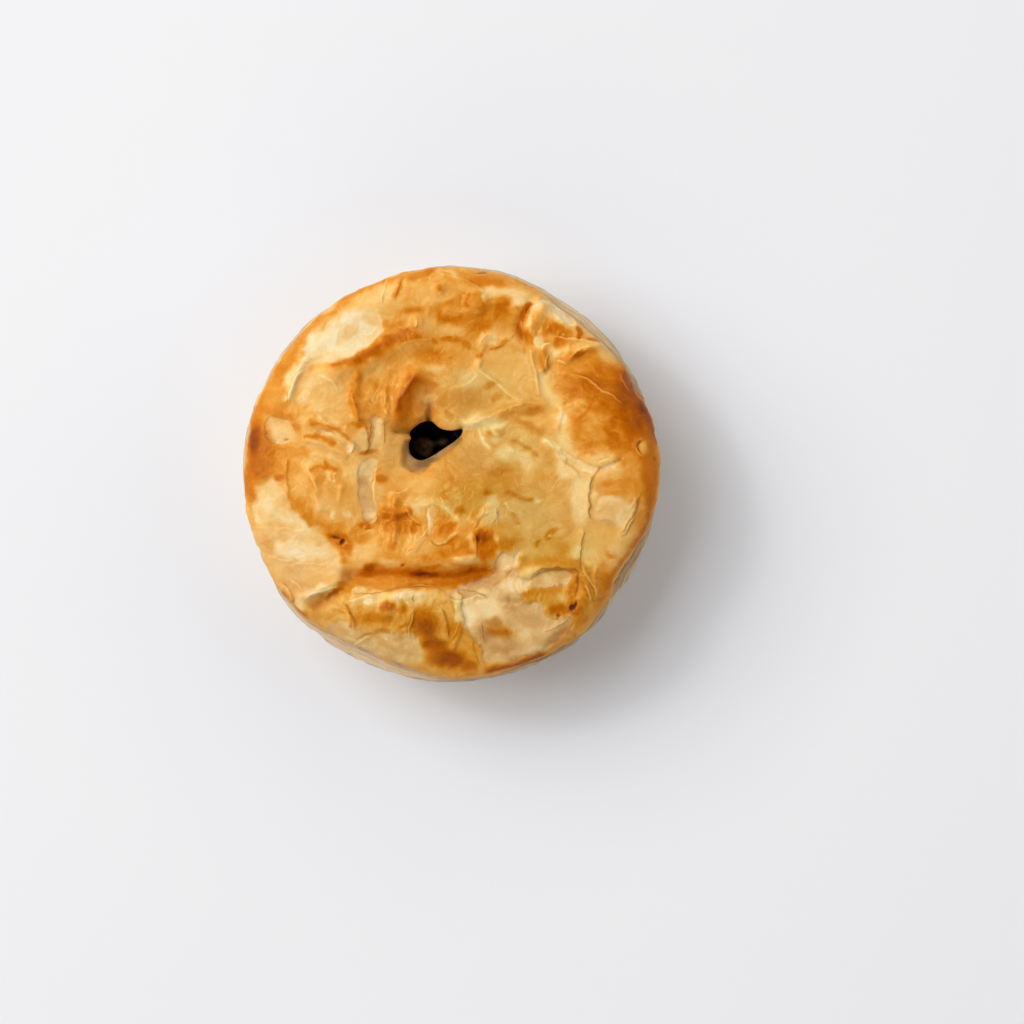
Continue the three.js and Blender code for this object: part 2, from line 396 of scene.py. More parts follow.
@dataclass(frozen=True)
class Crack:
    """A crack in the lid, and how open it is from 0 to 1."""

    points: tuple[Point, ...]
    open: float

    def lie(self, x: Array, y: Array) -> tuple[Array, Array, Array]:
        """Lays the crack down like a leaf's edge that doesn't rise."""
        return Lip(self.points, 0.0, 0.5).lie(x, y)


@dataclass(frozen=True)
class Crumple:
    """A stretch of skin gathered into creases that run one way."""

    area: Patch
    turn: float
    size: float = 1.8
    stretch: float = 2.6

    def crests(self, grain: Grain, x: Array, y: Array) -> Array:
        """Height of the creases' crests.

        Args:
            grain: The noise that the creases follow.
            x: Places across.
            y: Places away.

        Returns:
            From 0 in the furrows to the area's level on the crests.
        """
        turn = math.radians(self.turn)
        along = x * math.cos(turn) + y * math.sin(turn)
        across = y * math.cos(turn) - x * math.sin(turn)
        crests = grain.wrinkles(along / self.stretch + 31 * self.turn, across, self.size)
        return self.area.level * self.area.cover(x, y) * crests


Feature = Patch | Streak

# How many numbers give a patch without a softness of its own
PLAIN_ROW = 6


def as_features(*rows: tuple[Any, ...], soft: float = 0.5) -> tuple[Feature, ...]:
    """Makes patches and streaks from plain rows, in the order of the rows.

    Args:
        rows: A patch's x, y, length, width, turn and level, then its softness and strength where it has its
            own, or a streak's points, width and level.
        soft: Softness of the patches that have no softness of their own.

    Returns:
        The features.
    """
    made: list[Feature] = []
    for row in rows:
        if isinstance(row[0], tuple):
            made.append(Streak(*row))
        elif len(row) == PLAIN_ROW:
            made.append(Patch(*row, soft=soft))
        else:
            made.append(Patch(*row))
    return tuple(made)


# The lid's features, each given in plan

# Stretches of the rim where the lid drew back from the case: angle, depth, spread in degrees
DRAWN_BACK = (
    (50, 1.3, 17), (142, 0.25, 16), (246, 1.7, 19), (290, 0.3, 12), (331, 1.7, 11), (5, -0.6, 14),
    (24, 0.6, 4),
)

# The ragged edge of the steam vent
VENT_OUTLINE = (
    (-6.4, 4.6), (-6.15, 3.0), (-4.7, 2.0), (-2.9, 2.6), (-0.8, 3.95), (1.4, 5.5), (2.0, 6.5), (1.6, 6.9),
    (0.3, 6.6), (-1.5, 6.95), (-2.9, 8.05), (-4.5, 7.8), (-6.2, 6.4), (-6.05, 5.4),
)

# The sagging inner wall that shows on the near left of the vent
VENT_LEDGE = (
    (-7.2, 4.4), (-7.3, 1.4), (-5.9, 0.2), (-4.0, 0.3), (-2.3, 1.6), (-0.4, 3.0), (1.9, 5.3), (0.0, 5.6),
    (-3.0, 5.4), (-6.0, 5.2),
)

# Broad swells and hollows of the puffed lid, in millimetres of rise
SWELLS = as_features(
    (24, 9.5, 9, 13, 20, 2.1), (-23.5, 6, 9, 11, -10, 1.3), (-14, 24.5, 12, 5.5, 30, 0.9),
    (4, 26.5, 11, 5, -8, 1.2), (-9, -21.5, 14.5, 5.5, 4, 1.9), (13, -23, 10, 6, 35, 1.1),
    (-25, -13, 7, 10, 35, 0.5), (25, -6, 5.5, 6, 0, 1), (-3, -12, 13, 3.2, 0, 1.1),
    (5, -2.5, 11, 5.5, -8, 0.8), (-17, -3, 6, 6, 0, 0.7), (9, 14, 8.5, 8.5, 0, -0.5),
    (-3.2, 4.8, 7, 5.5, 15, -1.5),
    soft=0.95,
)

# Ridges and creases, in millimetres of rise
FOLDS = as_features(
    (((-15, -16.1), (-9, -16), (-3, -16.3), (2, -16), (7, -15.2)), 1.3, -1.75),
    (((-17.6, 16), (-14, 16.7), (-10.6, 18.6), (-7.4, 20.2), (-5, 21.2)), 1.8, 0.7),
    (((-8, 9), (-7.2, 11.6), (-5, 15)), 1.5, 0.8),
    (((12.6, 26.4), (11.2, 24.2), (10.8, 22.2), (12, 20)), 0.8, -0.45),
    (((14.4, 26), (13.2, 23.6), (12.8, 21.6), (14.2, 18.6)), 0.9, 0.4),
    (((11, -16.2), (14, -14.6), (17.5, -14), (20.6, -15), (20.8, -18), (20, -21)), 0.9, 0.4),
    (((18, 15.4), (22, 13.8), (26.5, 10.5)), 0.6, 0.4), (((18.5, 17.6), (20.5, 19), (23, 19.8)), 0.7, 0.6),
    (((3, 7.3), (7, 8.8), (10.5, 10.1), (14.2, 10.5)), 0.8, 0.35),
    (((-21.5, 7.6), (-18.5, 6.6), (-15.5, 4.6)), 0.5, 0.5),
    (((-22, 5.2), (-19, 4.2), (-16, 2.4)), 0.5, 0.4), (((-20, 6.4), (-17, 5.2), (-15.6, 3.6)), 0.4, -0.4),
    (((-11.4, 8.4), (-12.2, 5), (-11.8, 1.5), (-13, -2.5), (-12.4, -6.4)), 1.4, -0.25),
    (((-3.1, 8), (-3.1, 9.2), (-3.2, 10.4)), 0.5, -0.5), (((-6.2, 6.4), (-8.4, 6.4)), 0.45, -0.4),
    (((2, 6.6), (5, 7)), 0.4, -0.4), (((4.5, 17.5), (4.6, 16), (7, 14), (9, 12.5), (11, 11.1)), 0.5, 0.3),
    (((4.8, 18.8), (6, 21.3), (9, 20.2), (11, 19)), 0.5, 0.25),
    (((12.2, 20), (12.8, 17.5), (13.5, 15), (13.9, 12)), 0.5, 0.35),
    (((14.3, 18.6), (14.8, 17), (14.2, 15.8)), 0.5, 0.5),
    (((-22.4, 17), (-24, 14), (-25, 11.3)), 0.4, 0.4),
    (((-9.8, 12.6), (-9.5, 10), (-10.2, 7.6)), 0.4, 0.35),
    (((-14.2, 15), (-14.6, 11), (-13.8, 8.4)), 0.6, 0.4),
    (((-21.5, -20.6), (-18.6, -19), (-16.4, -17.4)), 0.9, -0.38),
    (((-22.4, -19), (-19.5, -17.8), (-16.8, -16.6)), 0.7, 0.6),
    (((-20.3, -0.5), (-20.6, -3), (-19.6, -5.5)), 0.4, 0.2),
    (((-17.8, 0.4), (-16.6, -1.6), (-17, -4)), 0.4, 0.2),
    (((-10.2, -5.6), (-8.2, -6.3), (-6.4, -6)), 0.6, 0.4),
    (((-8.4, -4), (-8.4, -7), (-8.8, -11)), 0.6, 0.4),
    (((22.4, -15.4), (22.4, -17.6), (23.4, -20)), 0.4, 0.3),
    (((20.6, -15.8), (21.4, -17.8), (22.4, -19.8)), 0.3, 0.35),
    (((-17.4, -20.4), (-15.4, -21.4), (-15, -23.6)), 0.35, 0.3),
    (((1.2, -21), (1.9, -24), (0.6, -27)), 0.4, 0.3),
)

# Blisters: small domes and rings, in millimetres of rise
BLISTERS = as_features(
    (4.2, 26.3, 1.7, 1.6, 0, 0.7), (-1.6, 28.5, 0.9, 0.9, 0, 0.5), (-5, 23.4, 0.9, 1.1, 0, 0.4),
    (7.2, 6.3, 1.1, 0.7, 40, 0.35), (2.4, -13.2, 1.8, 0.9, 10, 0.35), (-14.8, 3.9, 0.8, 0.5, -20, 0.4),
    (6.2, -6.2, 1.6, 1.1, 50, 0.3), (25.2, -5.2, 2.6, 2.4, 0, 0.35), (-9.6, -21, 1, 1.4, 0, 0.35),
    (-6.4, -18.8, 2.8, 0.8, 8, 0.35), (29.8, 4, 0.9, 1.3, 20, 0.3),
)

# Torn leaves
FLAKES = (
    Flake(((-22.8, 16.4), (-22.5, 18.4), (-22.1, 20.8), (-20.6, 21.9), (-19.4, 22.5), (-18.8, 23.6),
           (-17.4, 24.5), (-15.4, 25.2), (-12.8, 25), (-10.8, 24.2), (-10.2, 22.9), (-11.2, 20.7),
           (-13, 19.2), (-15, 17.9), (-17.2, 17), (-19, 16.9), (-21.4, 17)), 0.06, 0.05, 0.4, 0.7),
    Flake(((-30.6, -3.6), (-29.2, -2), (-27.4, -0.6), (-26.3, -1.6), (-25.3, -3.6), (-24.2, -5.2),
           (-22.9, -6.7), (-21.4, -8), (-20, -9.4), (-18.6, -10.8), (-17.3, -12.4), (-16.9, -14.4),
           (-17.2, -16), (-19, -16.9), (-22, -17.2), (-24.6, -16.4), (-26.8, -14.8), (-28.2, -12.4),
           (-29.8, -9.4), (-30.6, -6)), 0.12, 0.25, 0.34, 0.9),
    Flake(((2, -19.4), (4.4, -19), (7, -19.8), (9, -19.4), (12, -20), (14.2, -20.4), (15.4, -22.2),
           (17.4, -22.4), (18.8, -22.4), (18.6, -24.4), (16.4, -26.6), (14.4, -28), (11, -28.8),
           (7, -29.4), (5, -28.6), (4.4, -26.4), (2.6, -23.8), (2, -21.6)), 0.3, 0.38, 0.8, 0.5),
    Flake(((22.4, -4.4), (24.4, -3.5), (27, -4), (28.3, -5.4), (27.6, -7.4), (26, -8.7), (23.8, -8.3),
           (22.2, -6.6)), 0.1, 0.28, 0.45, 1),
    Flake(((13.6, 26.6), (15.4, 25.4), (17, 24.2), (18.6, 22.8), (19.6, 23.2), (18.2, 25.4), (15.8, 27)),
          0.3, 0.14),
    Flake(((-28.4, 8.6), (-25.4, 8.3), (-23.8, 6.6), (-24.4, 4.8), (-26.8, 4.4), (-28.4, 5.6)),
          0.1, 0.3, 0.3, 0.3),
    Flake(((6.7, -14.2), (7.4, -13), (8.4, -12.2), (9.3, -12.4), (9.8, -13.2), (10.3, -12.4), (11, -11.9),
           (11.3, -12.2), (10.6, -13.4), (10, -14.4), (8.8, -15), (7.4, -15.2)), 0.3, 0.36, 0.9, 0.25),
    Flake(((1.8, -17.2), (4, -16.6), (6, -16), (7.6, -15), (9, -15.4), (10.4, -14.6), (11, -16),
           (12.2, -16.2), (11.8, -17.4), (11.9, -18.2), (10.9, -18.9), (11.5, -19.8), (8.6, -20.2),
           (6, -19.8), (3.4, -19.6), (1.4, -18.4)), 0.25, 0.4, 0.9, 0.3),
    Flake(((11.6, -17.2), (12.6, -16.2), (14, -15.2), (16, -14.9), (18.4, -15.2), (18.8, -16), (18, -17.6),
           (16, -17.6), (13.6, -17.7)), 0.2, 0.32, 0.7, 0.4),
    Flake(((-19, -23.6), (-16.4, -22.8), (-14.4, -24.2), (-12, -24.9), (-9.4, -24.7), (-6.8, -24.7),
           (-5.1, -25), (-4.5, -26.4), (-4.2, -29.2), (-8, -29.6), (-12, -28.6), (-15, -27.2),
           (-17.6, -25.6)), 0.15, 0.32, 0.6, 0.7),
    Flake(((17.2, 3.6), (19.4, 2.2), (22.6, 1), (26, 1.9), (27.4, 3), (25.6, 1), (22.4, -0.2), (19, 0.6)),
          0.25, 0.18),
    Flake(((-13.7, 1.2), (-12.2, 2.2), (-10.9, 1.8), (-11.6, 0), (-11.8, -2), (-11.8, -4), (-11.3, -5.6),
           (-11.4, -7.2), (-13.2, -7.2), (-13.4, -5.6), (-14, -4), (-14.1, -2), (-14.2, -1)),
          0.05, 0.36, 0.8, 0.3),
    Flake(((-12, 8.5), (-10.2, 8), (-10, 5), (-10.7, 3.4), (-12.3, 4), (-12, 6)), 0.15, 0.34, 0.8, 0.3),
    Flake(((-3.4, -5.4), (-2.3, -5.2), (-2.3, -8.6), (-3.3, -9.6), (-3.5, -7.6)), 0.08, 0.3, 0.4),
)

# How far each place of the lid has browned or lies in painted shade, painted from broad to fine: 0 is cream,
# 1 is burnt
# The painted shade lies under folds and overhanging leaves and on slopes that face away from the light
BROAD_TONES = as_features(
    (24.5, 10.6, 7.2, 8.2, 20, 0.73, 0.45), (28.2, 10, 2.4, 6, 16, 0.86),
    (((27.2, 15.4), (28, 14), (28.6, 12.4)), 0.7, 0.9), (29.8, 12.2, 0.7, 0.9, 0, 0.66),
    (((30.2, 9.8), (31.2, 8), (32, 5.4)), 1.3, 0.95), (31, 1, 1.6, 6, 5, 0.72),
    (26, 4.6, 1.2, 2.2, 10, 0.7), (22.4, 6.4, 1.9, 2, 0, 0.52), (19.4, 10, 1.5, 1.3, 0, 0.5),
    (-19.6, 11.6, 4.4, 5.4, 0, 0.3), (-18, 3.4, 5, 3.6, 0, 0.36), (-20.4, 1.6, 2.4, 0.8, 0, 0.32),
    (-22.6, 3, 1.4, 1, 0, 0.56), (-15, -1.4, 1.6, 3.2, 0, 0.16), (-11, -2.8, 1, 2.4, 0, 0.34),
    (-5, -1.8, 2.4, 1.2, 0, 0.36), (-18.6, 1.6, 4, 1.2, 0, 0.3), (-13.6, 5.6, 1.2, 3, 0, 0.26),
    (-18.6, -3.2, 4.6, 4, 0, 0.45), (-16.6, -5.6, 2.2, 1.5, 0, 0.4), (-11.2, 12.6, 3.2, 3.6, 0, 0.54),
    (-13.4, 15.6, 4.4, 1.3, 8, 0.4), (-21, 12.8, 2.4, 2, 0, 0.22), (4.5, 24.6, 6, 2.8, -5, 0.64),
    (-3, 27.6, 3, 1.6, 0, 0.38), (-4, -11, 7, 3.2, 0, 0.52), (-5.4, -11.2, 2.6, 1.8, 0, 0.4),
    (5, -1.2, 6.5, 3, -8, 0.58), (8, 16.4, 4.4, 5.4, 0, 0.38), (1, 14.4, 3, 1.6, 0, 0.38),
    (6.6, 20.6, 2, 1.5, 30, 0.38), (-11.5, 27, 3.6, 2.6, 20, 0.25), (-9, 29.6, 2.4, 1.2, 15, 0.24),
    (22.6, -18, 3.2, 5, 30, 0.56), (-9, -22.4, 7, 2.6, 0, 0.44), (-27.8, 1.6, 3, 3.4, 0, 0.62),
    (-12.4, 26.4, 3.4, 1.4, 25, 0.28), (8.6, 27.2, 3.4, 1.2, -14, 0.18), (11.6, 26.5, 2.6, 1.2, -30, 0.12),
    (17.2, 24.6, 3.4, 1.6, -42, 0.13), (23.6, 19.6, 3.6, 1.4, -50, 0.3), (-22, 9.6, 2.4, 1, 0, 0.46),
    (23, -10.6, 3, 2.6, 0, 0.36), (26.4, -11.4, 1.6, 3.4, -28, 0.28), (24, 1.2, 3.6, 2.2, 0, 0.28),
    (18, 0.6, 1.6, 1.4, 0, 0.16), (13, -6.6, 4, 3, 0, 0.4), (12.6, 1.6, 2.6, 2, 0, 0.44),
    (19, 16.4, 2.4, 1, -10, 0.55), (-10, -27, 7, 2.2, -14, 0.36), (-18, -22.2, 4, 2, 30, 0.42),
    (-8.6, -19.4, 6.4, 1.1, 3, 0.18), (-13.2, -12, 2.2, 1.5, 45, 0.28), (-9.2, -14, 1.8, 0.6, -5, 0.3),
)

PALE_TONES = as_features(
    (((14.4, 15), (15, 12.6), (16.4, 10.6), (17.4, 8), (17.4, 6), (18.4, 3), (20, -1),
      (20.6, -6)), 1.2, 0.24), (-3, 11.2, 1, 0.9, 0, 0.26), (((2.4, 7.6), (4, 8.2), (6, 8)), 0.8, 0.2),
    (6.8, 7.4, 1.6, 1.2, 20, 0.18), (-2.4, 16.4, 1.6, 0.8, -10, 0.22), (-9, 4, 1.8, 3, 0, 0.44),
    (20, -4.4, 1.3, 3.4, 5, 0.2), (-22.8, -20, 0.9, 1.9, -40, 0.14), (10.4, 2.6, 1.6, 1, -10, 0.24),
    (13.8, 20, 0.8, 1, 0, 0.12), (16.6, 19, 1.4, 1.2, 0, 0.2), (8.6, 3, 1.6, 1.2, -20, 0.26),
    (((15, 4.9), (16.5, 3.8), (17.2, 2)), 0.5, 0.1), (6.4, -6.4, 1.8, 1.3, 40, 0.26),
    (2.6, -13.3, 1.6, 0.8, 5, 0.28), (-13, -19.4, 2.2, 0.8, 10, 0.24), (-6.4, -18.7, 3.2, 0.7, 5, 0.12),
    (((-23, -19.2), (-20.6, -18.4), (-17, -16.8)), 0.9, 0.12), (5.2, -20.8, 3.2, 1, 10, 0.06),
    (2, -20, 1.2, 2.2, 0, 0.12), (12.2, -15.6, 1.2, 1.8, -20, 0.2), (20, -12.4, 1.6, 1.2, 0, 0.28),
    (-9.6, 29.6, 1.6, 0.9, 20, 0.28), (-5, -5, 1.7, 1.5, 0, 0.28),
    (((-18, 6), (-16.8, 5), (-15.8, 4)), 0.35, 0.26), (((-22.4, 17), (-24, 14), (-25, 11.4)), 0.5, 0.12),
    (-24.6, 15, 1.2, 2, -20, 0.14), (3.4, 14.6, 1.6, 1.4, 20, 0.28),
    (((4.5, 17.4), (4.6, 16), (7, 14), (9, 12.5), (11, 11.2)), 0.3, 0.3), (21.6, -13, 1.4, 1.6, 0, 0.3),
    (((-19.6, -2), (-21, -1), (-22, 0.4)), 0.35, 0.3), (-19, -4.8, 1.2, 1.2, 0, 0.36),
    (-23, -2, 1, 1.6, 0, 0.36), (3.4, -22.6, 1, 2, 10, 0.14),
)

FINE_TONES = as_features(
    (-28.6, -9.8, 2.2, 1.2, -25, 0.3), (-27.4, -12.2, 1.4, 1.2, 0, 0.38),
    (-28.6, -11.8, 1.2, 1.4, 0, 0.36), (-23.6, -12, 5.4, 1.2, -6, 0.09), (-28.4, -4.6, 1.5, 2, 20, 0.14),
    (-31.4, -6, 0.9, 3.2, -5, 0.42), (-30, -11, 0.8, 2.4, -20, 0.36), (-22, -15.2, 5, 1.2, 0, 0.28),
    (-19.6, -16.4, 2.6, 0.7, 0, 0.38), (-25, -15.4, 2, 0.8, 10, 0.38), (-20.2, -10.4, 0.6, 0.9, -10, 0.32),
    (4.5, -20.7, 3.3, 1.7, 5, 0.13, 0.6), (3, -22.6, 1.4, 1.3, 20, 0.05),
    (6.2, -21.2, 1.6, 1.4, 15, 0.11, 0.6), (9.7, -17.5, 2.2, 1, 5, 0.14), (9, -16.4, 1.1, 0.4, 8, 0.32),
    (7, -17, 1.2, 0.7, 15, 0.5), (4, -18, 1.3, 0.5, 5, 0.44), (5.2, -17.3, 1.8, 0.6, 5, 0.5),
    (8, -15.5, 0.8, 0.5, 0, 0.46), (2, -22, 0.8, 0.7, 0, 0.1), (11.2, -18, 0.9, 0.5, 30, 0.16),
    (11.3, -16.6, 0.8, 0.5, 20, 0.14), (5.4, -18.5, 1.3, 0.35, -15, 0.22),
    (8.5, -13.8, 1.5, 1.1, -30, 0.28), (10.4, -12.7, 0.5, 0.7, -40, 0.14), (9, -15.6, 0.9, 0.5, 10, 0.58),
    (7.4, -16.4, 0.5, 0.8, 0, 0.56), (9.8, -20.6, 1.6, 0.5, 0, 0.46), (11.8, -22.6, 2.4, 1.4, -20, 0.42),
    (12.4, -24.4, 2.6, 0.8, -20, 0.26), (7.6, -27.2, 1.8, 0.9, -10, 0.52), (5.2, -25, 0.7, 1.6, 5, 0.56),
    (12, -26, 1.8, 0.8, -10, 0.32), (12.6, -27.6, 2.6, 0.7, 12, 0.24), (16.6, -25.2, 2.4, 0.8, 42, 0.56),
    (16.6, -23.4, 1.6, 0.6, 35, 0.34), (17.5, -16.4, 1.3, 1, 0, 0.44), (16, -15, 1.6, 0.4, 0, 0.52),
    (24.2, -8, 1.4, 0.7, -10, 0.42), (17.3, -17.3, 0.25, 0.8, 0, 0.56), (17.4, -19.2, 0.7, 0.6, 0, 0.26),
    (-15.6, 21.8, 1.6, 1, 40, 0.26), (-11.8, 23.5, 1.5, 0.9, -20, 0.28), (-20.6, 17.4, 1.4, 0.6, 10, 0.26),
    (29.8, 3.9, 0.8, 1.2, 10, 0.42),
    (((-8, 30.8), (-16, 27.8), (-22, 23.2), (-25, 19.8), (-27.6, 15.4), (-29.4, 11.4)), 1, 0.62),
    (-25.2, 17.6, 1.1, 4.2, -25, 0.66),
    (((-8.4, 31.6), (-16.6, 28), (-23, 23), (-27.8, 17), (-30.6, 11)), 0.5, 0.2),
    (-15.4, 28, 2.4, 0.7, 25, 0.6), (-18.6, 25.7, 1.5, 0.6, 35, 0.34),
    (((-7.5, 30), (-7.7, 28.6), (-8.3, 27.2)), 0.4, 0.62), (-1.6, 28.4, 0.6, 0.6, 0, 0.72),
    (-5, 30.6, 2, 0.8, 10, 0.68), (-3.4, 31.4, 1.2, 0.6, 10, 0.71),
    (((-1.6, 31.6), (1, 30.6), (3.6, 29.6)), 0.45, 0.28), (((6, 28.4), (9, 28.1), (12, 27.6)), 0.6, 0.2),
    (4.2, 26.3, 1.5, 1.3, 0, 0.7), (4.3, 26.4, 0.8, 0.7, 0, 0.58),
    (((3, 27.6), (2.6, 26.4), (3, 25.3)), 0.3, 0.8), (4, 24.9, 0.7, 0.3, -10, 0.32),
    (5.4, 27, 0.5, 0.4, 0, 0.14), (7.8, 26, 1.6, 1.3, 20, 0.74), (0.6, 26, 1.4, 0.6, 0, 0.6),
    (((-1.6, 24.2), (0.2, 23.7), (2, 23.4)), 0.65, 0.73), (((3, 22.8), (5, 22.6), (6.6, 23.4)), 0.4, 0.66),
    (0, 22, 1.9, 0.8, 0, 0.34), (0.4, 20.6, 1.3, 0.45, -5, 0.77), (-2.4, 20.4, 0.5, 0.4, 0, 0.7),
    (2.7, 19.8, 0.8, 0.45, -30, 0.7), (-6.5, 23.4, 1.4, 1, 10, 0.4), (-7, 22, 1.1, 0.45, 8, 0.88),
    (((-10, 21), (-7.6, 21), (-5.6, 21.8)), 0.5, 0.82), (-5.6, 25.1, 1.5, 0.5, 5, 0.68),
    (-6.4, 16.2, 1, 0.5, 20, 0.62), (-3, 13.6, 1.3, 0.5, -5, 0.64), (6.4, 13.6, 1.2, 0.5, 20, 0.6),
    (2, 25, 2.6, 0.8, 0, 0.52), (7, 26.6, 1.5, 0.6, 0, 0.57),
    (((-1.6, 24), (0, 23.5), (1.6, 24)), 0.55, 0.74), (((-1.2, 20.7), (0, 20.5), (1.2, 20.7)), 0.45, 0.72),
    (12, 24, 0.8, 0.8, 0, 0.62), (12, 22, 0.7, 0.6, 0, 0.46), (12.2, 20, 0.7, 0.8, 0, 0.66),
    (22, -2.8, 0.7, 1.6, 0, 0.26), (4.6, 18.4, 0.35, 0.5, 0, 0.7), (6.4, 20.8, 1, 0.8, 20, 0.22),
    (((6.6, 19.2), (7.8, 19.8), (8.8, 20.6)), 0.25, 0.7),
    (((12.4, 26), (11.4, 24.6), (10.9, 22.8), (11.4, 21)), 0.5, 0.86), (12.2, 20.6, 0.7, 1, 0, 0.72),
    (((13.2, 25.6), (12.4, 24.2), (12, 22.8)), 0.3, 0.14), (-25, 17.4, 1, 1.4, -20, 0.58),
    (-24.4, 20.2, 1.2, 2.4, -35, 0.58),
    (((-17.8, 16.7), (-15, 17.1), (-12.6, 18.1), (-10.2, 19.4), (-8.2, 20.4), (-6.4, 20.7),
      (-4.9, 21.4)), 0.8, 0.72), (((-14.4, 17.3), (-12, 18.7), (-9.8, 20), (-7.6, 20.9)), 0.6, 0.83),
    (-8, 22.6, 1.4, 0.8, 25, 0.6), (-3.7, 22.8, 1.6, 1.3, 0, 0.38), (-18.2, 18, 1.2, 0.8, 20, 0.14),
    (-12.2, 20.6, 0.9, 0.7, 35, 0.14), (-9, 25.2, 2, 1.2, 35, 0.36),
    (((-14, 15.4), (-14.8, 12), (-14.2, 9), (-13.4, 7.6)), 0.8, 0.67), (-14.2, 7.3, 1.3, 0.5, -5, 0.72),
    (((-30, 10), (-27, 9.3), (-24.6, 8.6), (-23.6, 7)), 0.7, 0.67), (-30.4, 8.4, 1.5, 1.5, 0, 0.64),
    (-29.6, 4.4, 1.9, 3.6, -4, 0.76), (-30.2, 4.8, 1.1, 2.6, -4, 0.92), (-29.8, 0.8, 2.2, 2.2, 0, 0.8),
    (-31.4, -2, 1.3, 2.6, 15, 0.74), (((-22.2, 5.8), (-20.6, 5.6), (-19, 5), (-17.8, 4.5)), 0.4, 0.72),
    (((-21.2, 7.8), (-19, 7.3), (-17.6, 6.7), (-15.6, 5.4)), 0.4, 0.68),
    (((-20.4, 6.5), (-18.6, 5.9), (-17, 5), (-16.4, 4.2)), 0.32, 0.26),
    (((-19.2, 9.6), (-18.8, 8.2), (-17.6, 7.4), (-16.4, 6.8)), 0.3, 0.3), (-14.8, 6.4, 0.7, 0.8, 0, 0.46),
    (-20, -0.8, 1.5, 1.5, 0, 0.52), (-19.4, 11.8, 2.2, 1.3, 20, 0.26, 0.7), (-20.2, 9.9, 1, 0.7, 0, 0.2),
    (-17, 10.8, 1.2, 0.7, -30, 0.3), (-20, -5, 0.9, 1.1, 0, 0.26), (-9, 12, 1.1, 1.4, 10, 0.6),
    (-14, 12, 0.6, 1.3, 10, 0.66), (-9, -2, 1.2, 1.4, 0, 0.42),
    (((-21.4, 0.2), (-20.2, 0.9), (-19, 0.5)), 0.35, 0.66),
    (((-18.9, 1.6), (-18.5, 0.6), (-17.6, 0.2)), 0.35, 0.7),
    (((-18.6, 0), (-18.3, -0.8), (-17.7, -1.2)), 0.25, 0.18), (-12.6, 3.2, 1.4, 0.45, 12, 0.74),
    (-15.2, 3.6, 0.5, 0.5, 0, 0.06), (-11.2, 6.4, 0.6, 1.2, 0, 0.18), (-12.4, -6.6, 0.8, 0.5, 0, 0.24),
    (-24.2, -4.6, 0.6, 1.2, 20, 0.66), (-21.6, -6.8, 0.9, 1.3, 20, 0.66),
    (-26.2, -0.8, 0.9, 0.5, 30, 0.74), (-18, -6.4, 0.5, 0.9, 0, 0.2), (-15.7, -6.4, 0.5, 0.6, 0, 0.2),
    (((-7.4, 8), (-6.6, 10.2), (-5.9, 12.4), (-5.2, 14.2)), 1.5, 0.76),
    (((-8, 10), (-7.2, 11.8), (-6.3, 13.2), (-5.6, 14.4)), 0.65, 0.9), (-3, 9.6, 1.2, 1, 0, 0.6),
    (-4.6, 10, 0.9, 0.9, 0, 0.66), (-3, 11, 0.8, 0.7, 0, 0.5), (-7.4, 7.1, 1.5, 0.7, 0, 0.66),
    (-0.6, 11, 1.4, 0.7, 0, 0.58), (-3, 18, 2.8, 1.4, -5, 0.63), (5.4, 29.6, 3.6, 0.9, -4, 0.7),
    (((1.6, 30.8), (5, 30.9), (8.6, 30.6)), 0.5, 0.56), (16.4, 22.2, 2.2, 1.1, -8, 0.74),
    (16.8, 20.3, 1.3, 1.2, 0, 0.72), (20, 21.6, 0.5, 1.1, 0, 0.8), (22.4, 20.6, 1, 0.5, -10, 0.66),
    (20.8, 12.6, 1.8, 0.9, -30, 0.73), (22.6, 8, 1.7, 1.4, 0, 0.54), (21.8, 2.9, 0.9, 0.35, -5, 0.58),
    (17.4, 8.8, 0.5, 1.3, 0, 0.1), (16.4, 9.5, 0.6, 0.5, 0, 0.48), (14.5, 17.4, 0.8, 1.8, 10, 0.66),
    (20.3, 18.5, 1.6, 0.4, 35, 0.78), (20.4, 19.4, 1.8, 0.55, 10, 0.36),
    (((8, 8.9), (11, 9.4), (14.2, 9.8)), 0.6, 0.6), (13, 9.4, 1.5, 0.7, 10, 0.74),
    (7.2, 11.7, 1.1, 0.6, 35, 0.6), (11, 12, 1.2, 0.9, -30, 0.38), (14, 14, 0.7, 1.4, 10, 0.24),
    (12, 1, 6, 13, 0, 0.2, 0.9, 0.12), (((2.5, 7), (4.2, 7.3), (6, 7.6)), 0.4, 0.14),
    (((4.6, 6.6), (5.4, 5), (5.8, 4)), 0.3, 0.16), (6.3, 5.9, 0.5, 0.4, 0, 0.68, 0.8),
    (7.5, 6.5, 0.4, 0.35, 0, 0.6, 0.8), (7.2, 5.3, 0.6, 0.45, 20, 0.2, 0.8),
    (9.4, 3.5, 0.5, 0.3, -20, 0.14, 0.8),
    (((9.6, 4.9), (11.2, 4.4), (12.4, 3.6), (13.6, 2.8)), 0.32, 0.64),
    (((10.6, 8.1), (12.4, 7.2), (14, 6.3)), 0.6, 0.66), (12, 1.4, 1.1, 1.2, 0, 0.24),
    (7.8, 0.2, 1.8, 0.6, 12, 0.66), (0.6, -1.3, 1.3, 0.7, 0, 0.63), (-0.6, -3.4, 0.8, 0.6, 0, 0.6),
    (6.6, -4.7, 0.8, 1.1, 0, 0.26), (5.9, -3, 0.8, 0.6, 30, 0.76),
    (((9, -2.9), (10.4, -3.8), (12.4, -4.3)), 0.42, 0.7), (13.6, -4.3, 0.7, 0.4, 0, 0.16),
    (1.7, -5.8, 0.8, 0.7, 0, 0.72), (((-1, -5), (0.4, -6.4), (1.4, -7.6)), 0.3, 0.28),
    (5.8, -7.3, 1.2, 0.9, 40, 0.36, 0.8), (((9.6, -6.4), (10.2, -7.2), (10.6, -8)), 0.35, 0.6),
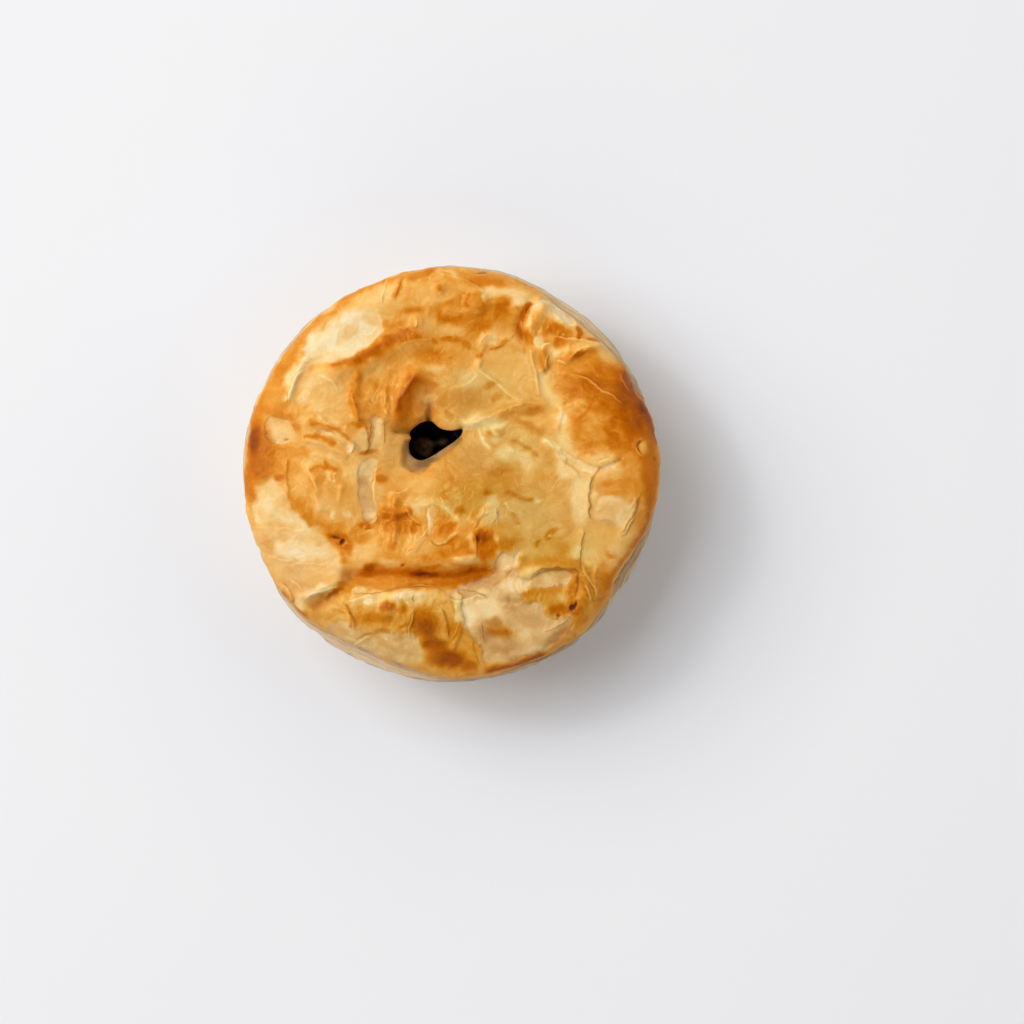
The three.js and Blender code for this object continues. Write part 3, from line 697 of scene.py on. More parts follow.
    (-0.5, -8.6, 1.6, 1.7, 20, 0.7), (0.4, -10.3, 1.6, 0.8, 20, 0.68),
    (((-2, -11), (-0.4, -10.4), (1.2, -9)), 0.2, 0.32), (3.3, -10.5, 0.7, 1, -10, 0.2),
    (5.6, -11.2, 1.6, 2.5, 3, 0.77, 0.3), (8, -10.8, 2.6, 1.2, -5, 0.7), (5, -10.1, 1.3, 0.9, -8, 0.89),
    (7.3, -10, 0.5, 0.5, 0, 0.4), (13.6, -11, 0.4, 0.6, -10, 0.74), (15.8, -9.2, 1.2, 0.5, 30, 0.68),
    (15, -9.9, 0.6, 0.4, -30, 0.66), (15.5, -9.6, 0.18, 0.14, 0, 0.2), (2.2, -12.4, 1.6, 0.6, 10, 0.68),
    (1.6, -11.4, 2, 1.2, 15, 0.66), (0, -12.5, 2.4, 0.6, 3, 0.67),
    # The near crease, on this line and the next few: browned, and darker still with painted shade under its
    # fold
    (((-14, -15.6), (-9, -15.5), (-4, -15.5), (1, -15.8), (4.6, -15.3), (6.6, -14.6)), 0.8, 0.71),
    (((-6, -16), (-2, -16.2), (2, -16.1), (4.2, -15.8)), 0.5, 0.82),
    (((2.6, -15.5), (4, -15.3), (5.4, -14.9)), 0.6, 0.86),
    (((-7, -17), (-3, -17.1), (0, -17), (3, -16.5), (5.6, -15.8)), 0.75, 0.67),
    (((1.6, -16.6), (3.4, -16.4), (5, -16)), 0.6, 0.8), (2.6, -13.6, 1.3, 0.6, 5, 0.26, 0.8),
    (6.9, -14, 0.9, 0.6, 20, 0.28), (((-5.8, -15.5), (-3.8, -15.65), (-2, -15.9)), 0.4, 0.89),
    (-12.4, -14.5, 1.2, 0.7, 20, 0.87), (-14.2, -14, 0.7, 0.6, 0, 0.4), (-2.6, -13.2, 1.6, 0.7, 0, 0.62),
    (((-13, -17), (-8, -17.2), (-3, -17)), 0.5, 0.5), (-2.2, -14.5, 1.8, 0.35, 0, 0.7),
    (2.2, -14.8, 0.7, 0.4, 0, 0.58), (11.3, -25, 1.2, 0.7, 30, 0.2), (10, -25.4, 0.8, 0.7, 0, 0.36),
    (((12, -14), (16, -13.6), (19.6, -14.1)), 0.8, 0.63), (13.2, -18.9, 2.2, 0.9, -5, 0.56),
    (11.9, -18.7, 0.8, 0.6, 0, 0.66), (15.6, -19.2, 1.4, 0.7, -20, 0.48),
    (18.9, -17.4, 0.6, 1.5, -10, 0.72), (17, -21.2, 1.9, 0.8, 0, 0.73), (19.4, -20.8, 1.1, 1.5, 0, 0.76),
    (20.4, -18.8, 0.9, 1.8, -10, 0.66), (19.8, -23, 0.9, 1.2, -30, 0.62), (24.3, -17, 1, 1.3, 15, 0.71),
    (20.6, -22.4, 0.8, 0.8, 0, 0.62), (((30.2, -0.6), (31, -4), (30.6, -8), (28.8, -11.6)), 0.7, 0.77),
    (((28, -12.4), (26.4, -14.4), (24.8, -16.4)), 0.6, 0.66), (29.6, -7, 0.8, 1.4, -10, 0.52),
    (25.6, -2.2, 3, 1, 0, 0.56), (26.6, 2.2, 1.2, 1.4, 0, 0.58), (25, -12.8, 1, 0.5, -30, 0.56),
    (7, -23.2, 1.2, 0.8, 0, 0.58), (((6.2, -24.7), (7.8, -24.6), (8.9, -24.9)), 0.9, 0.74),
    (((6.4, -30.7), (10, -30), (14.4, -28.4)), 0.6, 0.84), (3, -29.8, 1.2, 0.7, 20, 0.76),
    (0.8, -24.4, 1.2, 1.6, 0, 0.62),
    (((-23.2, -4.4), (-22, -6), (-20.6, -7.6), (-18.6, -9), (-17, -9.8)), 0.7, 0.58),
    (-17.4, -8.4, 1.6, 0.8, 10, 0.62), (-13.8, -9.8, 1.6, 1.2, -20, 0.58),
    (-16.8, -10.3, 1.7, 1.3, 0, 0.67), (-17.8, -9.8, 1.2, 0.5, -5, 0.8), (-15.6, -11.6, 0.8, 1.2, 0, 0.7),
    (((-16.4, -12.6), (-16.2, -13.8), (-15.7, -14.4)), 0.4, 0.6), (-15.4, -15, 1.6, 0.9, 0, 0.4),
    (-21.4, -20, 1, 1.4, -40, 0.3), (-12.9, -8, 1.2, 0.6, -5, 0.76), (-10.5, -1, 0.9, 0.7, 0, 0.7),
    (-8.6, -7.2, 2.3, 1.8, 0, 0.76), (-9, -6.8, 1, 0.9, 0, 0.83), (-6.2, -8.6, 1.6, 0.9, 0, 0.68),
    (((-10.4, -5.7), (-8.4, -6.2), (-6.2, -5.9)), 0.5, 0.68),
    (((-8.6, -7), (-8.9, -9), (-8.8, -11)), 0.7, 0.66), (((-8, -7.6), (-6.4, -8), (-5, -8)), 0.4, 0.68),
    (((-21, -20.6), (-19.4, -19.8), (-17.8, -18.8), (-16.5, -17.6)), 0.75, 0.73),
    (-18, -18.8, 1.1, 0.5, 40, 0.86),
    (((-15.8, -20.6), (-15.1, -22), (-14.9, -23), (-15.2, -23.8)), 0.22, 0.7),
    (-12.4, -19.7, 1, 0.6, 0, 0.08), (((-13, -17.4), (-10, -17.8), (-8.4, -18), (-5, -17.2)), 0.45, 0.53),
    (-14, -17.9, 1, 0.6, 10, 0.2), (-12, -18.5, 1.3, 0.4, 0, 0.26), (-20, -18, 1.2, 0.6, 35, 0.1),
    # The patch at (-25.6, -15.6) darkens the lower-left shoulder: painted shade
    (-16.2, -10, 0.8, 0.5, -20, 0.78), (-25.6, -15.6, 5.5, 1.7, -49, 0.38, 0.7, 0.5),
    (-28.4, -11.4, 1.4, 1.2, -60, 0.44), (((-26.3, -13.7), (-23, -14.1), (-20, -14)), 0.5, 0.36),
    (-9.6, -20.7, 1.2, 0.9, 0, 0.76), (-7.2, -21.1, 0.7, 1.2, 10, 0.66), (-12.4, -22.4, 2.3, 0.9, 0, 0.62),
    (-9.8, -22.4, 1.4, 0.7, -20, 0.64), (-10.6, -24.4, 1.5, 0.4, 8, 0.62),
    (-6.7, -23.6, 0.9, 0.35, 10, 0.72), (-3.8, -23.2, 2.2, 2.4, 10, 0.74, 0.4),
    (((-3.6, -24), (-2.6, -26.4), (-0.6, -28.4)), 1, 0.74), (-3.6, -23.9, 1.1, 1.3, 10, 0.83),
    (-2.3, -26.5, 1.8, 1.1, -10, 0.82, 0.4), (-1.2, -28.4, 2.4, 1.5, 0, 0.77),
    (0.3, -28.8, 2.2, 1.4, -5, 0.86), (((-26.2, -18.8), (-24.5, -21), (-22.6, -22.3)), 0.5, 0.72),
)

# Where the glaze is thin and the skin dull, from 0 to 1
DULL = as_features(
    (8, -24.4, 2.4, 1.1, -12, 0.1, 0.5), (16, -15, 1.6, 0.5, 0, 0.2, 0.5),
    (-24.4, -15.4, 6.5, 2.8, -49, 0.6, 0.7), (0.6, -18.9, 1.3, 0.8, 0, 0.7, 0.5),
    (-3.6, 11.2, 1.6, 2.2, 0, 0.4), (7, -23.2, 1.1, 0.8, 0, 0.4, 0.5), (16.8, -21.1, 1.7, 0.8, 0, 0, 0.5),
    (3.6, 11.6, 3.6, 3.6, 0, 0.24), (13, 13, 4, 4, 0, 0.18), (5.4, 3.6, 5.6, 3.6, 20, 0.36),
    (13.4, 3.4, 4.4, 3.6, 0, 0.22), (19.6, -4, 3.6, 4.6, 0, 0.34), (-10, 4, 3, 3.6, 0, 0.3),
    (11, -5.6, 5, 4, 0, 0.14),
    soft=0.8,
)

# Where the browning is yellow rather than orange, from 0 to 1
SALLOW = as_features(
    (0, -25, 16, 6.5, 0, 0.7), (10, -20, 9, 4, 0, 0.9), (-20, -20.6, 5, 3, 30, 0.7),
    (20, -18, 4, 5, 0, 0.6), (15, -11.5, 8, 4.4, 0, 1), (11, 13, 5.5, 5.5, 0, 0.6),
    (3.6, 12, 4, 4.4, 0, 0.8), (13.4, 3.4, 4.6, 4, 0, 0.7), (12, -6, 6, 5, 0, 0.9),
    (5.4, 3.6, 6.4, 4.8, 20, 1.1), (3, -3.6, 6.4, 3.4, 0, 1), (19.6, -4, 3.6, 5, 0, 0.5),
    (-10, 4, 3, 3.6, 0, 0.5), (5, -10.6, 2, 2.4, 0, 0.1),
    soft=0.6,
)

# Where the skin lies smooth, from 0 to 1
SMOOTH = as_features(
    (8, 13.4, 6, 5.4, 0, 0.6), (-17.5, 2.5, 7, 8, 0, 0.35),
    soft=0.6,
)

# Burnt specks, darker than any browning, and the painted shade in the slit of the near crease
BURNT = as_features(
    (18.9, -20.8, 0.42, 0.55, -25, 1.1, 0.35), (19.35, -20.2, 0.25, 0.4, -20, 1.05, 0.4),
    (-16.5, -10.6, 0.36, 0.6, -30, 1.05, 0.4), (-17.5, -9.9, 0.7, 0.25, -5, 0.98),
    (16.8, -22.1, 0.3, 0.25, 0, 0.98), (-7.2, -14.3, 0.4, 0.22, 10, 0.97),
    # This speck is the dark slit of the near crease: painted shade
    (-4, -15.65, 1.5, 0.26, 3, 0.95),
)

# Cracks: the route of each, and how open it is from 0 to 1; the finish paints shade along them
CRACKS = tuple(Crack(*row) for row in (
    (((22.3, 0.2), (21.6, -3), (21.5, -5.5), (22.1, -7.6)), 0.6),
    (((29, -3), (28.6, -6), (27.5, -8), (26.2, -9.9)), 0.68),
    (((20.9, -8.8), (20.4, -11.4), (20.2, -13.8), (21, -15.6)), 0.52),
    (((-15.2, -19.2), (-14.2, -18.6), (-12, -18.7), (-10, -18.3), (-6, -17.6), (-2, -17.8),
      (0, -18.7)), 0.52), (((-5.3, -18.5), (-5.6, -19.2), (-5.4, -20.2)), 0.6),
    (((-4.9, -20.7), (-5.7, -22), (-6.3, -23.6), (-6.6, -25.4)), 0.52),
    (((-1.2, -20.6), (-0.5, -22.4), (-0.4, -24.6)), 0.45),
    (((-15.6, -21), (-15, -22.4), (-15.2, -23.8)), 0.45), (((5, -22.8), (5.1, -24.4), (5.4, -26.6)), 0.6),
    (((-14.6, -25.8), (-13, -25), (-11.6, -24.6)), 0.45),
    (((-3.6, -9.6), (-4.6, -10.6), (-5.2, -11.6), (-6.6, -12.5)), 0.52),
    (((-3, -10.3), (-2, -11.4), (-0.4, -10.9)), 0.52),
    (((-11.2, -6), (-11, -7.2), (-12, -8.1), (-13.4, -8.2)), 0.52),
    (((12.4, -16), (14.2, -15), (17, -14.7), (19.6, -15.2), (19.9, -16.6), (19.7, -18.4)), 0.56),
    (((20.5, -15.9), (21.4, -17.8), (22.3, -19.8)), 0.45),
    (((29.7, 5.2), (29, 4.6), (28.9, 3.8), (29.6, 3)), 0.45),
    (((4.2, -7.6), (5.2, -6.6), (5.8, -5.2)), 0.45), (((7.3, -5.4), (7.3, -7), (6.6, -8.2)), 0.45),
    (((1.4, -18), (4, -18.4), (6.2, -19.4)), 0.45), (((-12.1, 8.2), (-12.1, 6.4), (-12.5, 4.2)), 0.55),
    (((-10, 8.4), (-10, 6.4), (-10.1, 4.4)), 0.5), (((-14.6, 4.1), (-14.6, 3.4), (-15.2, 2.9)), 0.4),
    (((-12.4, 11.2), (-11.9, 10.6)), 0.52), (((-24.9, 12.2), (-25, 10.6)), 0.45),
))

# Pits: how deep they are, from 0 to 1; the finish paints shade in them
PITS = as_features(
    (-25, 5, 0.4, 0.25, 30, 0.7), (-27, 4.8, 0.35, 0.3, 0, 0.5), (17.8, 10.6, 0.25, 0.3, 0, 0.6),
    (31.7, 2.2, 0.25, 0.45, 0, 0.8), (29.2, 4.6, 0.3, 0.55, -25, 0.8), (22.3, -19.8, 0.3, 0.25, 0, 0.7),
    (-24.3, -19.8, 0.5, 0.25, 40, 0.6), (5, 31.2, 0.9, 0.22, -3, 0.9),
)

# Painted shade in the slits that run out from the vent and on the sagging ledge below it
VENT_SHADES = as_features(
    (-3.3, 8.5, 0.55, 1.1, 0, 0.75, 0.8), (((-3.1, 9), (-3.05, 10), (-3.2, 10.6)), 0.4, 0.35),
    (-4.6, 8.4, 0.9, 0.5, 30, 0.35, 0.8), (((-4.1, 10.4), (-4.05, 11.2)), 0.25, 0.3),
    (((-6.1, 6.42), (-7.2, 6.4), (-8.6, 6.35)), 0.3, 0.55), (-7, 6.9, 1.2, 0.5, -5, 0.3, 0.8),
    (((2.1, 6.6), (3.4, 6.65)), 0.3, 0.25), (-5.7, 0.2, 0.5, 0.25, 20, 0.4), (-4, 0.3, 0.3, 0.25, 20, 0.3),
    (-3.8, 1.6, 2, 0.9, 18, 0.5), (1.2, 5.2, 1.4, 0.6, 45, 0.4, 0.8),
)

# Skin gathered into creases: the area, then the creases' turn, size and stretch
CRUMPLES = tuple(Crumple(Patch(*area), *creases) for area, *creases in (
    ((-19, 4, 5, 5, 0, 0.18), -30), ((-18, -4, 5, 4.5, 0, 0.1), 80), ((-12, 13, 5, 5, 0, 0.11), 70),
    ((-22, 14, 4, 5, 0, 0.1), 60), ((-7.5, -8, 4, 4, 0, 0.17), 85), ((1, -10, 4, 3, 0, 0.13), 20),
    ((-9, -21, 9, 3.4, 0, 0.14), 80), ((24, 11, 6, 7, 20, 0.12), -35, 2.2), ((22, 4, 4, 3, 0, 0.11), -60),
    ((3, 25, 7, 3.6, 0, 0.13), 10, 2.4, 1.6), ((16, 20, 4, 5, 0, 0.13), 60),
    ((21, -17, 3, 5, 0, 0.16), -65, 1.5), ((9, 5, 7, 4, 0, 0.06), 25, 2.4),
    ((10, -9, 7, 5, 0, 0.06), 25, 2.4), ((-26, -8, 4, 6, 0, 0.06), -20), ((-18, -22, 4, 2.4, 0, 0.11), 30),
    ((-12, -26, 6, 2.6, 0, 0.08), -20), ((11, -23, 6, 4, 0, 0.08), -30), ((-16, 25, 7, 3, 30, 0.07), 32),
    ((0, 14, 4, 6, 0, 0.06), 10),
))

# Leaf edges over their neighbours: route, rise, reach, painted highlight on the paler edge, painted shadow
# below
LIPS = tuple(Lip(*row) for row in (
    (((-9.2, 21.3), (-10.6, 20.5), (-12.2, 19.4), (-14, 18.2), (-16, 17.1), (-18, 16.2)), 0.4, 1.2, 0, 0),
    (((-22.4, 17.6), (-22.1, 20.6), (-20.6, 21.9), (-19.6, 22.3), (-18.9, 23.5),
      (-17.4, 24.5)), 0.25, 0.8, 0, 0.04),
    (((-16.9, 20.2), (-17.2, 21.4), (-16.6, 22.6), (-15.6, 23.4), (-14.6, 22.8)), 0.12, 0.6, -0.05, 0),
    (((-5.4, 22.2), (-4.9, 23), (-5, 24)), 0.3, 0.5, 0.1, 0.12),
    (((-2.6, 20.7), (-5, 20.7), (-7.4, 20), (-9, 19.2)), 0.15, 0.8, 0.03, 0.06),
    (((-6.4, 17.4), (-7, 18.6), (-8, 19.8)), 0.12, 0.5, 0.04, 0.03),
    (((5.8, 28.1), (4.4, 28.9), (2.4, 29.8), (0, 30.6), (-2.2, 31.4)), 0.25, 0.8, 0.05, 0.1),
    (((-10.2, 25.6), (-10.3, 27.4), (-9.8, 29.2), (-9, 30.4)), 0.2, 0.6, 0.1, 0.06),
    (((-8.4, 26.8), (-8, 28.4), (-7.4, 30)), 0.25, 0.6, 0, 0.16),
    (((11.6, 10.7), (10.6, 11.2), (9, 12.4), (7.6, 13.8), (6, 15), (4.7, 16),
      (4.4, 17.2)), 0.18, 0.7, 0.06, 0.03),
    (((4.4, 15.8), (3.6, 14.7), (2, 13.6), (0.6, 13.4)), 0.15, 0.6, 0.05, 0.03),
    (((6.6, 19.1), (8, 19.8), (9.4, 20.8), (10.4, 22)), 0.18, 0.6, 0.1, 0.08),
    (((4.4, 19), (4.9, 20.4), (6, 21.4)), 0.15, 0.6, 0.12, 0.04),
    (((13.9, 11.6), (13.5, 15), (12.8, 17.4), (12.6, 19.6)), 0.2, 0.7, 0.06, 0.03),
    (((11.4, 21.8), (11.2, 23.4), (11.9, 25.2), (12.6, 26.6)), 0.25, 0.8, 0.06, 0.08),
    (((13.4, 25.4), (15, 25.3), (16.2, 24.7), (16.9, 23.6), (18.1, 23), (19.2, 23.4)), 0.25, 0.8, 0, 0),
    (((23.8, 20.1), (22.2, 20.4), (20, 20.7), (17.4, 21), (15.6, 21.2)), 0.3, 0.6, 0.14, 0.1),
    (((18.6, 17.4), (19.6, 18.5), (21, 19.1), (22.4, 19.6)), 0.25, 0.7, 0.1, 0.08),
    (((15.8, 20), (14.4, 19.8), (14, 18.8)), 0.4, 0.5, 0.18, 0.12),
    (((15.2, 15.6), (14.9, 16.8), (15.4, 18.2)), 0.4, 0.5, 0.14, 0.14),
    (((18.2, 16.6), (17.2, 17.4), (16.4, 17.2)), 0.3, 0.5, 0.14, 0.08),
    (((27, 10.6), (23.6, 12.8), (21, 14.6), (18.6, 15.4)), 0.35, 0.7, 0.16, 0.06),
    (((27.8, 12.4), (26.9, 14), (26.3, 15.4)), 0.25, 0.4, 0.16, 0),
    (((2.6, 7.2), (5, 8), (8, 9.4), (11, 10.4), (14, 10.8)), 0.2, 0.8, 0.04, 0.04),
    (((20.4, -1.8), (19.6, 0), (18.4, 1), (17.2, 1.9), (16.4, 3.4), (15.6, 4.7),
      (14.4, 5.2)), 0.3, 0.8, 0, 0.12),
    (((17, 5.8), (16.9, 7.4), (17.5, 9), (17.2, 10.2)), 0.3, 0.5, 0, 0.08),
    (((22.6, -7.4), (21.6, -7), (21.5, -5), (21.7, -2.6), (22.2, -0.6), (23.2, 0.8),
      (24.6, 1.2)), 0.35, 0.7, 0.1, 0.26),
    (((25.8, 0.9), (24.8, 2), (23.6, 2), (22.8, 1.2)), 0.25, 0.5, 0.1, 0.1),
    (((26, -10.4), (27.2, -9), (28, -7.8), (28.6, -6.4), (29, -4.6), (29.2, -2.8)), 0.35, 0.7, 0.1, 0.34),
    (((28.4, -3.6), (28.2, -4.6), (27.6, -5.8)), 0.2, 0.4, 0.1, 0.1),
    (((20, -13.8), (20.3, -12), (20.6, -10), (20.5, -8.4)), 0.25, 0.6, 0.08, 0.18),
    (((12, -16.6), (14, -15.4), (16, -14.8), (18, -14.9), (19.8, -15.5)), 0.4, 0.9, 0, 0.16),
    (((19.3, -19.4), (19.5, -17.6), (19.8, -15.6)), 0.35, 0.7, 0, 0.24),
    (((20.2, -14), (20.8, -15.6), (21.6, -17), (22.4, -18), (22.4, -19.6)), 0.3, 0.6, 0.14, 0.1),
    (((20.6, -17.4), (21.4, -18.6), (21.6, -20)), 0.25, 0.5, 0.12, 0.12),
    (((14.4, -24.8), (16, -24), (17.4, -23.2), (18.6, -22.2)), 0.3, 0.7, 0.16, 0.1),
    (((1.8, -22.8), (0.9, -21.6), (0.4, -20.2), (-0.8, -18.6)), 0.3, 0.8, 0, 0.1),
    (((0.1, -26.2), (-0.3, -24.4), (-0.5, -22.6), (-1.4, -20.6)), 0.25, 0.5, 0, 0.18),
    (((0.2, -26), (1.2, -24.6), (1.5, -23), (1, -21.8)), 0.25, 0.5, 0.08, 0.12),
    (((4.4, -29.6), (3.9, -27.8), (3.2, -26)), 0.25, 0.7, 0, 0.08),
    (((6.4, -19.8), (4.6, -18.9), (2.8, -19.4), (1.2, -19.7), (0, -19.2),
      (-1.2, -18.2)), 0.25, 0.7, 0.08, 0.16),
    (((-1, -18), (-3, -17.4), (-5, -17.3), (-8, -17.8), (-11, -18.4)), 0.3, 0.9, 0.06, 0.14),
    (((-11.4, -18.7), (-13, -18.8), (-14.4, -19.4), (-16, -19.6)), 0.25, 0.6, 0.1, 0.14),
    (((-14, -17.4), (-15, -18), (-15.2, -19)), 0.2, 0.4, 0.1, 0.12),
    (((-14.8, -24), (-14.9, -22.6), (-15.6, -21), (-16.6, -20.2)), 0.22, 0.6, 0.08, 0.12),
    (((-16.4, -17), (-18.6, -17.8), (-20.6, -18.4), (-22.8, -19.4)), 0.4, 0.9, 0.1, 0.1),
    (((-12, -24.9), (-13.6, -25.6), (-15.2, -26.6), (-15.4, -27.4)), 0.25, 0.6, 0.1, 0.18),
    (((-6.2, -25.9), (-6, -24.4), (-5.6, -22.6), (-4.9, -20.8)), 0.25, 0.6, 0.08, 0.14),
    (((-5.2, -25.8), (-5.4, -24.8), (-6.4, -24.6), (-7.4, -25)), 0.2, 0.5, 0, 0.12),
    (((-18, -13.8), (-21, -14), (-24, -13.6), (-27, -13), (-29, -12.2)), 0.15, 0.9, 0.03, 0.06),
    (((-22, -8.9), (-25, -8.5), (-28, -8.3), (-31.4, -8.2)), 0.15, 0.9, 0.03, 0.06),
    (((-26.6, -1), (-25.6, -3), (-24.4, -4.8), (-23.2, -6.4), (-21.6, -7.8), (-20, -9)), 0.3, 0.9, 0, 0),
    (((-24.2, -20.4), (-24.4, -19), (-25.2, -17.6), (-26.2, -16.8)), 0.25, 0.5, 0.06, 0.14),
    (((-22.6, -18), (-23.4, -17), (-24.6, -16.4)), 0.2, 0.5, 0.06, 0.1),
    (((-13.5, -6), (-14, -4), (-14.2, -2), (-14.3, -0.8), (-13.8, 0.8), (-12.6, 2)), 0.1, 0.8, 0.04, 0.02),
    (((-11.3, 1.4), (-11.7, -0.4), (-11.8, -2.4), (-11.7, -4.4), (-11.3, -5.8)), 0.15, 0.5, 0.14, 0.05),
    (((-13.6, -8.6), (-12, -8.4), (-11.1, -7.2), (-11.3, -5.8)), 0.3, 0.6, 0, 0.14),
    (((-13.2, 2.8), (-12.5, 4), (-12.6, 5.6), (-13.2, 7.6)), 0.3, 0.6, 0.08, 0.22),
    (((-10.2, 3.6), (-10.1, 5.4), (-9.9, 7.4), (-9.2, 8.4)), 0.2, 0.5, 0.06, 0.12),
    (((-15.2, 3), (-14.6, 4.2), (-15, 5)), 0.3, 0.4, 0.12, 0.12),
    (((-15.8, 4), (-17, 5.3), (-18.6, 6.3), (-20.6, 6.9)), 0.3, 0.6, 0.05, 0.1),
    (((-14.8, 5.2), (-16.4, 6.6), (-18.4, 7.4), (-19.6, 8.4), (-19.6, 9.8)), 0.2, 0.6, 0.04, 0.06),
    (((-22.2, 1.4), (-21.6, -0.4), (-20.8, -2), (-20.2, -3.4)), 0.2, 0.5, 0.1, 0.06),
    (((-17.4, 0.4), (-18, -0.6), (-17.6, -1.8)), 0.25, 0.4, 0.12, 0.1),
    (((-24.8, -4.6), (-25, -2), (-25.2, 0.4), (-24.8, 2.6)), 0.25, 0.6, 0.06, 0.1),
    (((-22.6, 16.6), (-23.6, 15), (-24.6, 13.2), (-25, 11.2)), 0.3, 0.5, 0.12, 0.12),
    (((-26.2, 18), (-27.2, 16), (-28, 14)), 0.25, 0.4, 0.12, 0.06),
    (((-14.2, 7.4), (-14, 9.2), (-14.8, 11.6), (-15.6, 13)), 0.35, 0.7, 0, 0.12),
    (((-17, 12), (-17.4, 13.4), (-18.6, 14.6), (-20.4, 15.4)), 0.2, 0.6, 0.08, 0.04),
    (((-9.4, 8.6), (-10, 10.4), (-9.4, 12.2)), 0.25, 0.5, 0.1, 0.1),
    (((-3.4, -4.6), (-3.4, -6.4), (-3.3, -8.4), (-4.4, -10), (-5.4, -11.6),
      (-7, -12.8)), 0.3, 0.6, 0.08, 0.16),
    (((-2.2, -10.4), (-1.8, -11.3), (-0.6, -11), (0.4, -10.2), (1.6, -8.8)), 0.15, 0.5, 0.05, 0.1),
    (((3.6, -8.6), (4.6, -7.4), (5.6, -6.4), (6.2, -6)), 0.3, 0.6, 0.1, 0.14),
    (((7.3, -8), (7.4, -6.6), (7.2, -5.4)), 0.2, 0.5, 0.06, 0.12),
    (((8.2, -4.6), (9.4, -6), (10.4, -6.4)), 0.2, 0.5, 0.08, 0.06),
    (((-1.2, -3.8), (-0.8, -5.2), (0.6, -6.8), (1.8, -7.6)), 0.15, 0.6, 0.05, 0.06),
    (((4.2, -14), (4.15, -11.6), (4.1, -9.2)), 0.15, 0.5, 0.08, 0.15),
    (((-7, -5.2), (-6.2, -6.8), (-5, -7.8), (-4, -8)), 0.25, 0.5, 0.08, 0.1),
    (((-6, -2.2), (-8, -3), (-9.4, -2.8)), 0.2, 0.5, 0.08, 0.06),
    (((30.2, 2.6), (29.2, 3), (28.9, 4), (29.4, 5), (30, 5.4)), 0.25, 0.4, 0.12, 0.3),
))


def painted(features: Iterable[Feature], x: Array, y: Array, ground: Array) -> Array:
    """Paints features over a ground, one after another.

    Args:
        features: Patches and streaks, the broadest first.
        x: Places across.
        y: Places away.
        ground: Level before painting.

    Returns:
        The painted level at each place.
    """
    level = ground.copy()
    for feature in features:
        level += (feature.level - level) * feature.cover(x, y)
    return level


def summed(features: Iterable[Feature], x: Array, y: Array) -> Array:
    """Adds up features.

    Args:
        features: Patches and streaks.
        x: Places across.
        y: Places away.

    Returns:
        The sum of their levels at each place.
    """
    return sum(feature.level * feature.cover(x, y) for feature in features)


# Meshes

def turned(name: str, section: Sequence[Point], turns: int) -> bpy.types.Mesh:
    """Spins half a section round the pie's axis into a closed mesh.

    Args:
        name: The mesh's name.
        section: Points of radius and height, from the axis round to the axis.
        turns: Steps of the spin.

    Returns:
        The mesh in millimetres, its faces pointing out.
    """
    body = bmesh.new()
    corners = [body.verts.new((radius, 0.0, height)) for radius, height in section]
    runs = [body.edges.new(pair) for pair in pairwise(corners)]
    bmesh.ops.spin(
        body, geom=corners + runs, cent=(0, 0, 0), axis=(0, 0, 1), angle=2 * math.pi,
        steps=turns, use_merge=True, use_duplicate=False,
    )
    bmesh.ops.remove_doubles(body, verts=body.verts, dist=MERGE_DISTANCE)
    bmesh.ops.recalc_face_normals(body, faces=body.faces)
    return as_mesh(name, body)


def as_mesh(name: str, made: bmesh.types.BMesh) -> bpy.types.Mesh:
    """Turns a finished bmesh into a mesh and frees it.

    Args:
        name: The mesh's name.
        made: The bmesh.

    Returns:
        The mesh.
    """
    mesh = bpy.data.meshes.new(name)
    made.to_mesh(mesh)
    made.free()
    return mesh


def as_piece(
    mesh: bpy.types.Mesh, masks: dict[Mask, Array], finish: bpy.types.Material, node: str
) -> bpy.types.Object:
    """Dresses a finished mesh and puts it into the scene in place of a solid.

    Args:
        mesh: The piece's mesh, in metres. The piece takes its name.
        masks: What its vertices carry for the finish.
        finish: Its material.
        node: The solid that it stands for.

    Returns:
        The new object.
    """
    for mask, values in masks.items():
        attribute = mesh.attributes.new(mask.value, "FLOAT", "POINT")
        attribute.data.foreach_set("value", values.astype(np.float32))
    mesh.shade_smooth()
    mesh.materials.append(finish)
    piece = bpy.data.objects.new(mesh.name, mesh)
    bpy.context.scene.collection.objects.link(piece)
    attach(piece, BODY)
    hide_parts(node)
    log.info("%s: %d faces, stands for %s", piece.name, len(mesh.polygons), node)
    return piece


def vertex_places(mesh: bpy.types.Mesh) -> Array:
    """Reads a mesh's vertices.

    Args:
        mesh: The mesh.

    Returns:
        Rows of x, y and z.
    """
    places = np.empty(3 * len(mesh.vertices))
    mesh.vertices.foreach_get("co", places)
    return places.reshape(-1, 3)


def move_vertices(mesh: bpy.types.Mesh, places: Array) -> None:
    """Puts a mesh's vertices at places given in millimetres."""
    mesh.vertices.foreach_set("co", (places * MM).ravel())
    mesh.update()


@dataclass(frozen=True)
class PieSizes:
    """Sizes of the whole pie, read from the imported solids."""

    rim_radius: float
    rim_height: float
    lid_radius: float
    lid_underside: float
    filling_radius: float
    filling_floor: float

    @classmethod
    def from_frame(cls) -> "PieSizes":
        """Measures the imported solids.

        Returns:
            The pie's sizes in millimetres.
        """
        _, case_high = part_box("pastry_case")
        lid_low, lid_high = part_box("pastry_lid")
        filling_low, filling_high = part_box("filling")
        return cls(
            rim_radius=case_high.x / MM,
            rim_height=case_high.z / MM,
            lid_radius=max(lid_high.x, lid_high.y, -lid_low.x) / MM,
            lid_underside=lid_low.z / MM,
            filling_radius=filling_high.x / MM,
            filling_floor=filling_low.z / MM,
        )


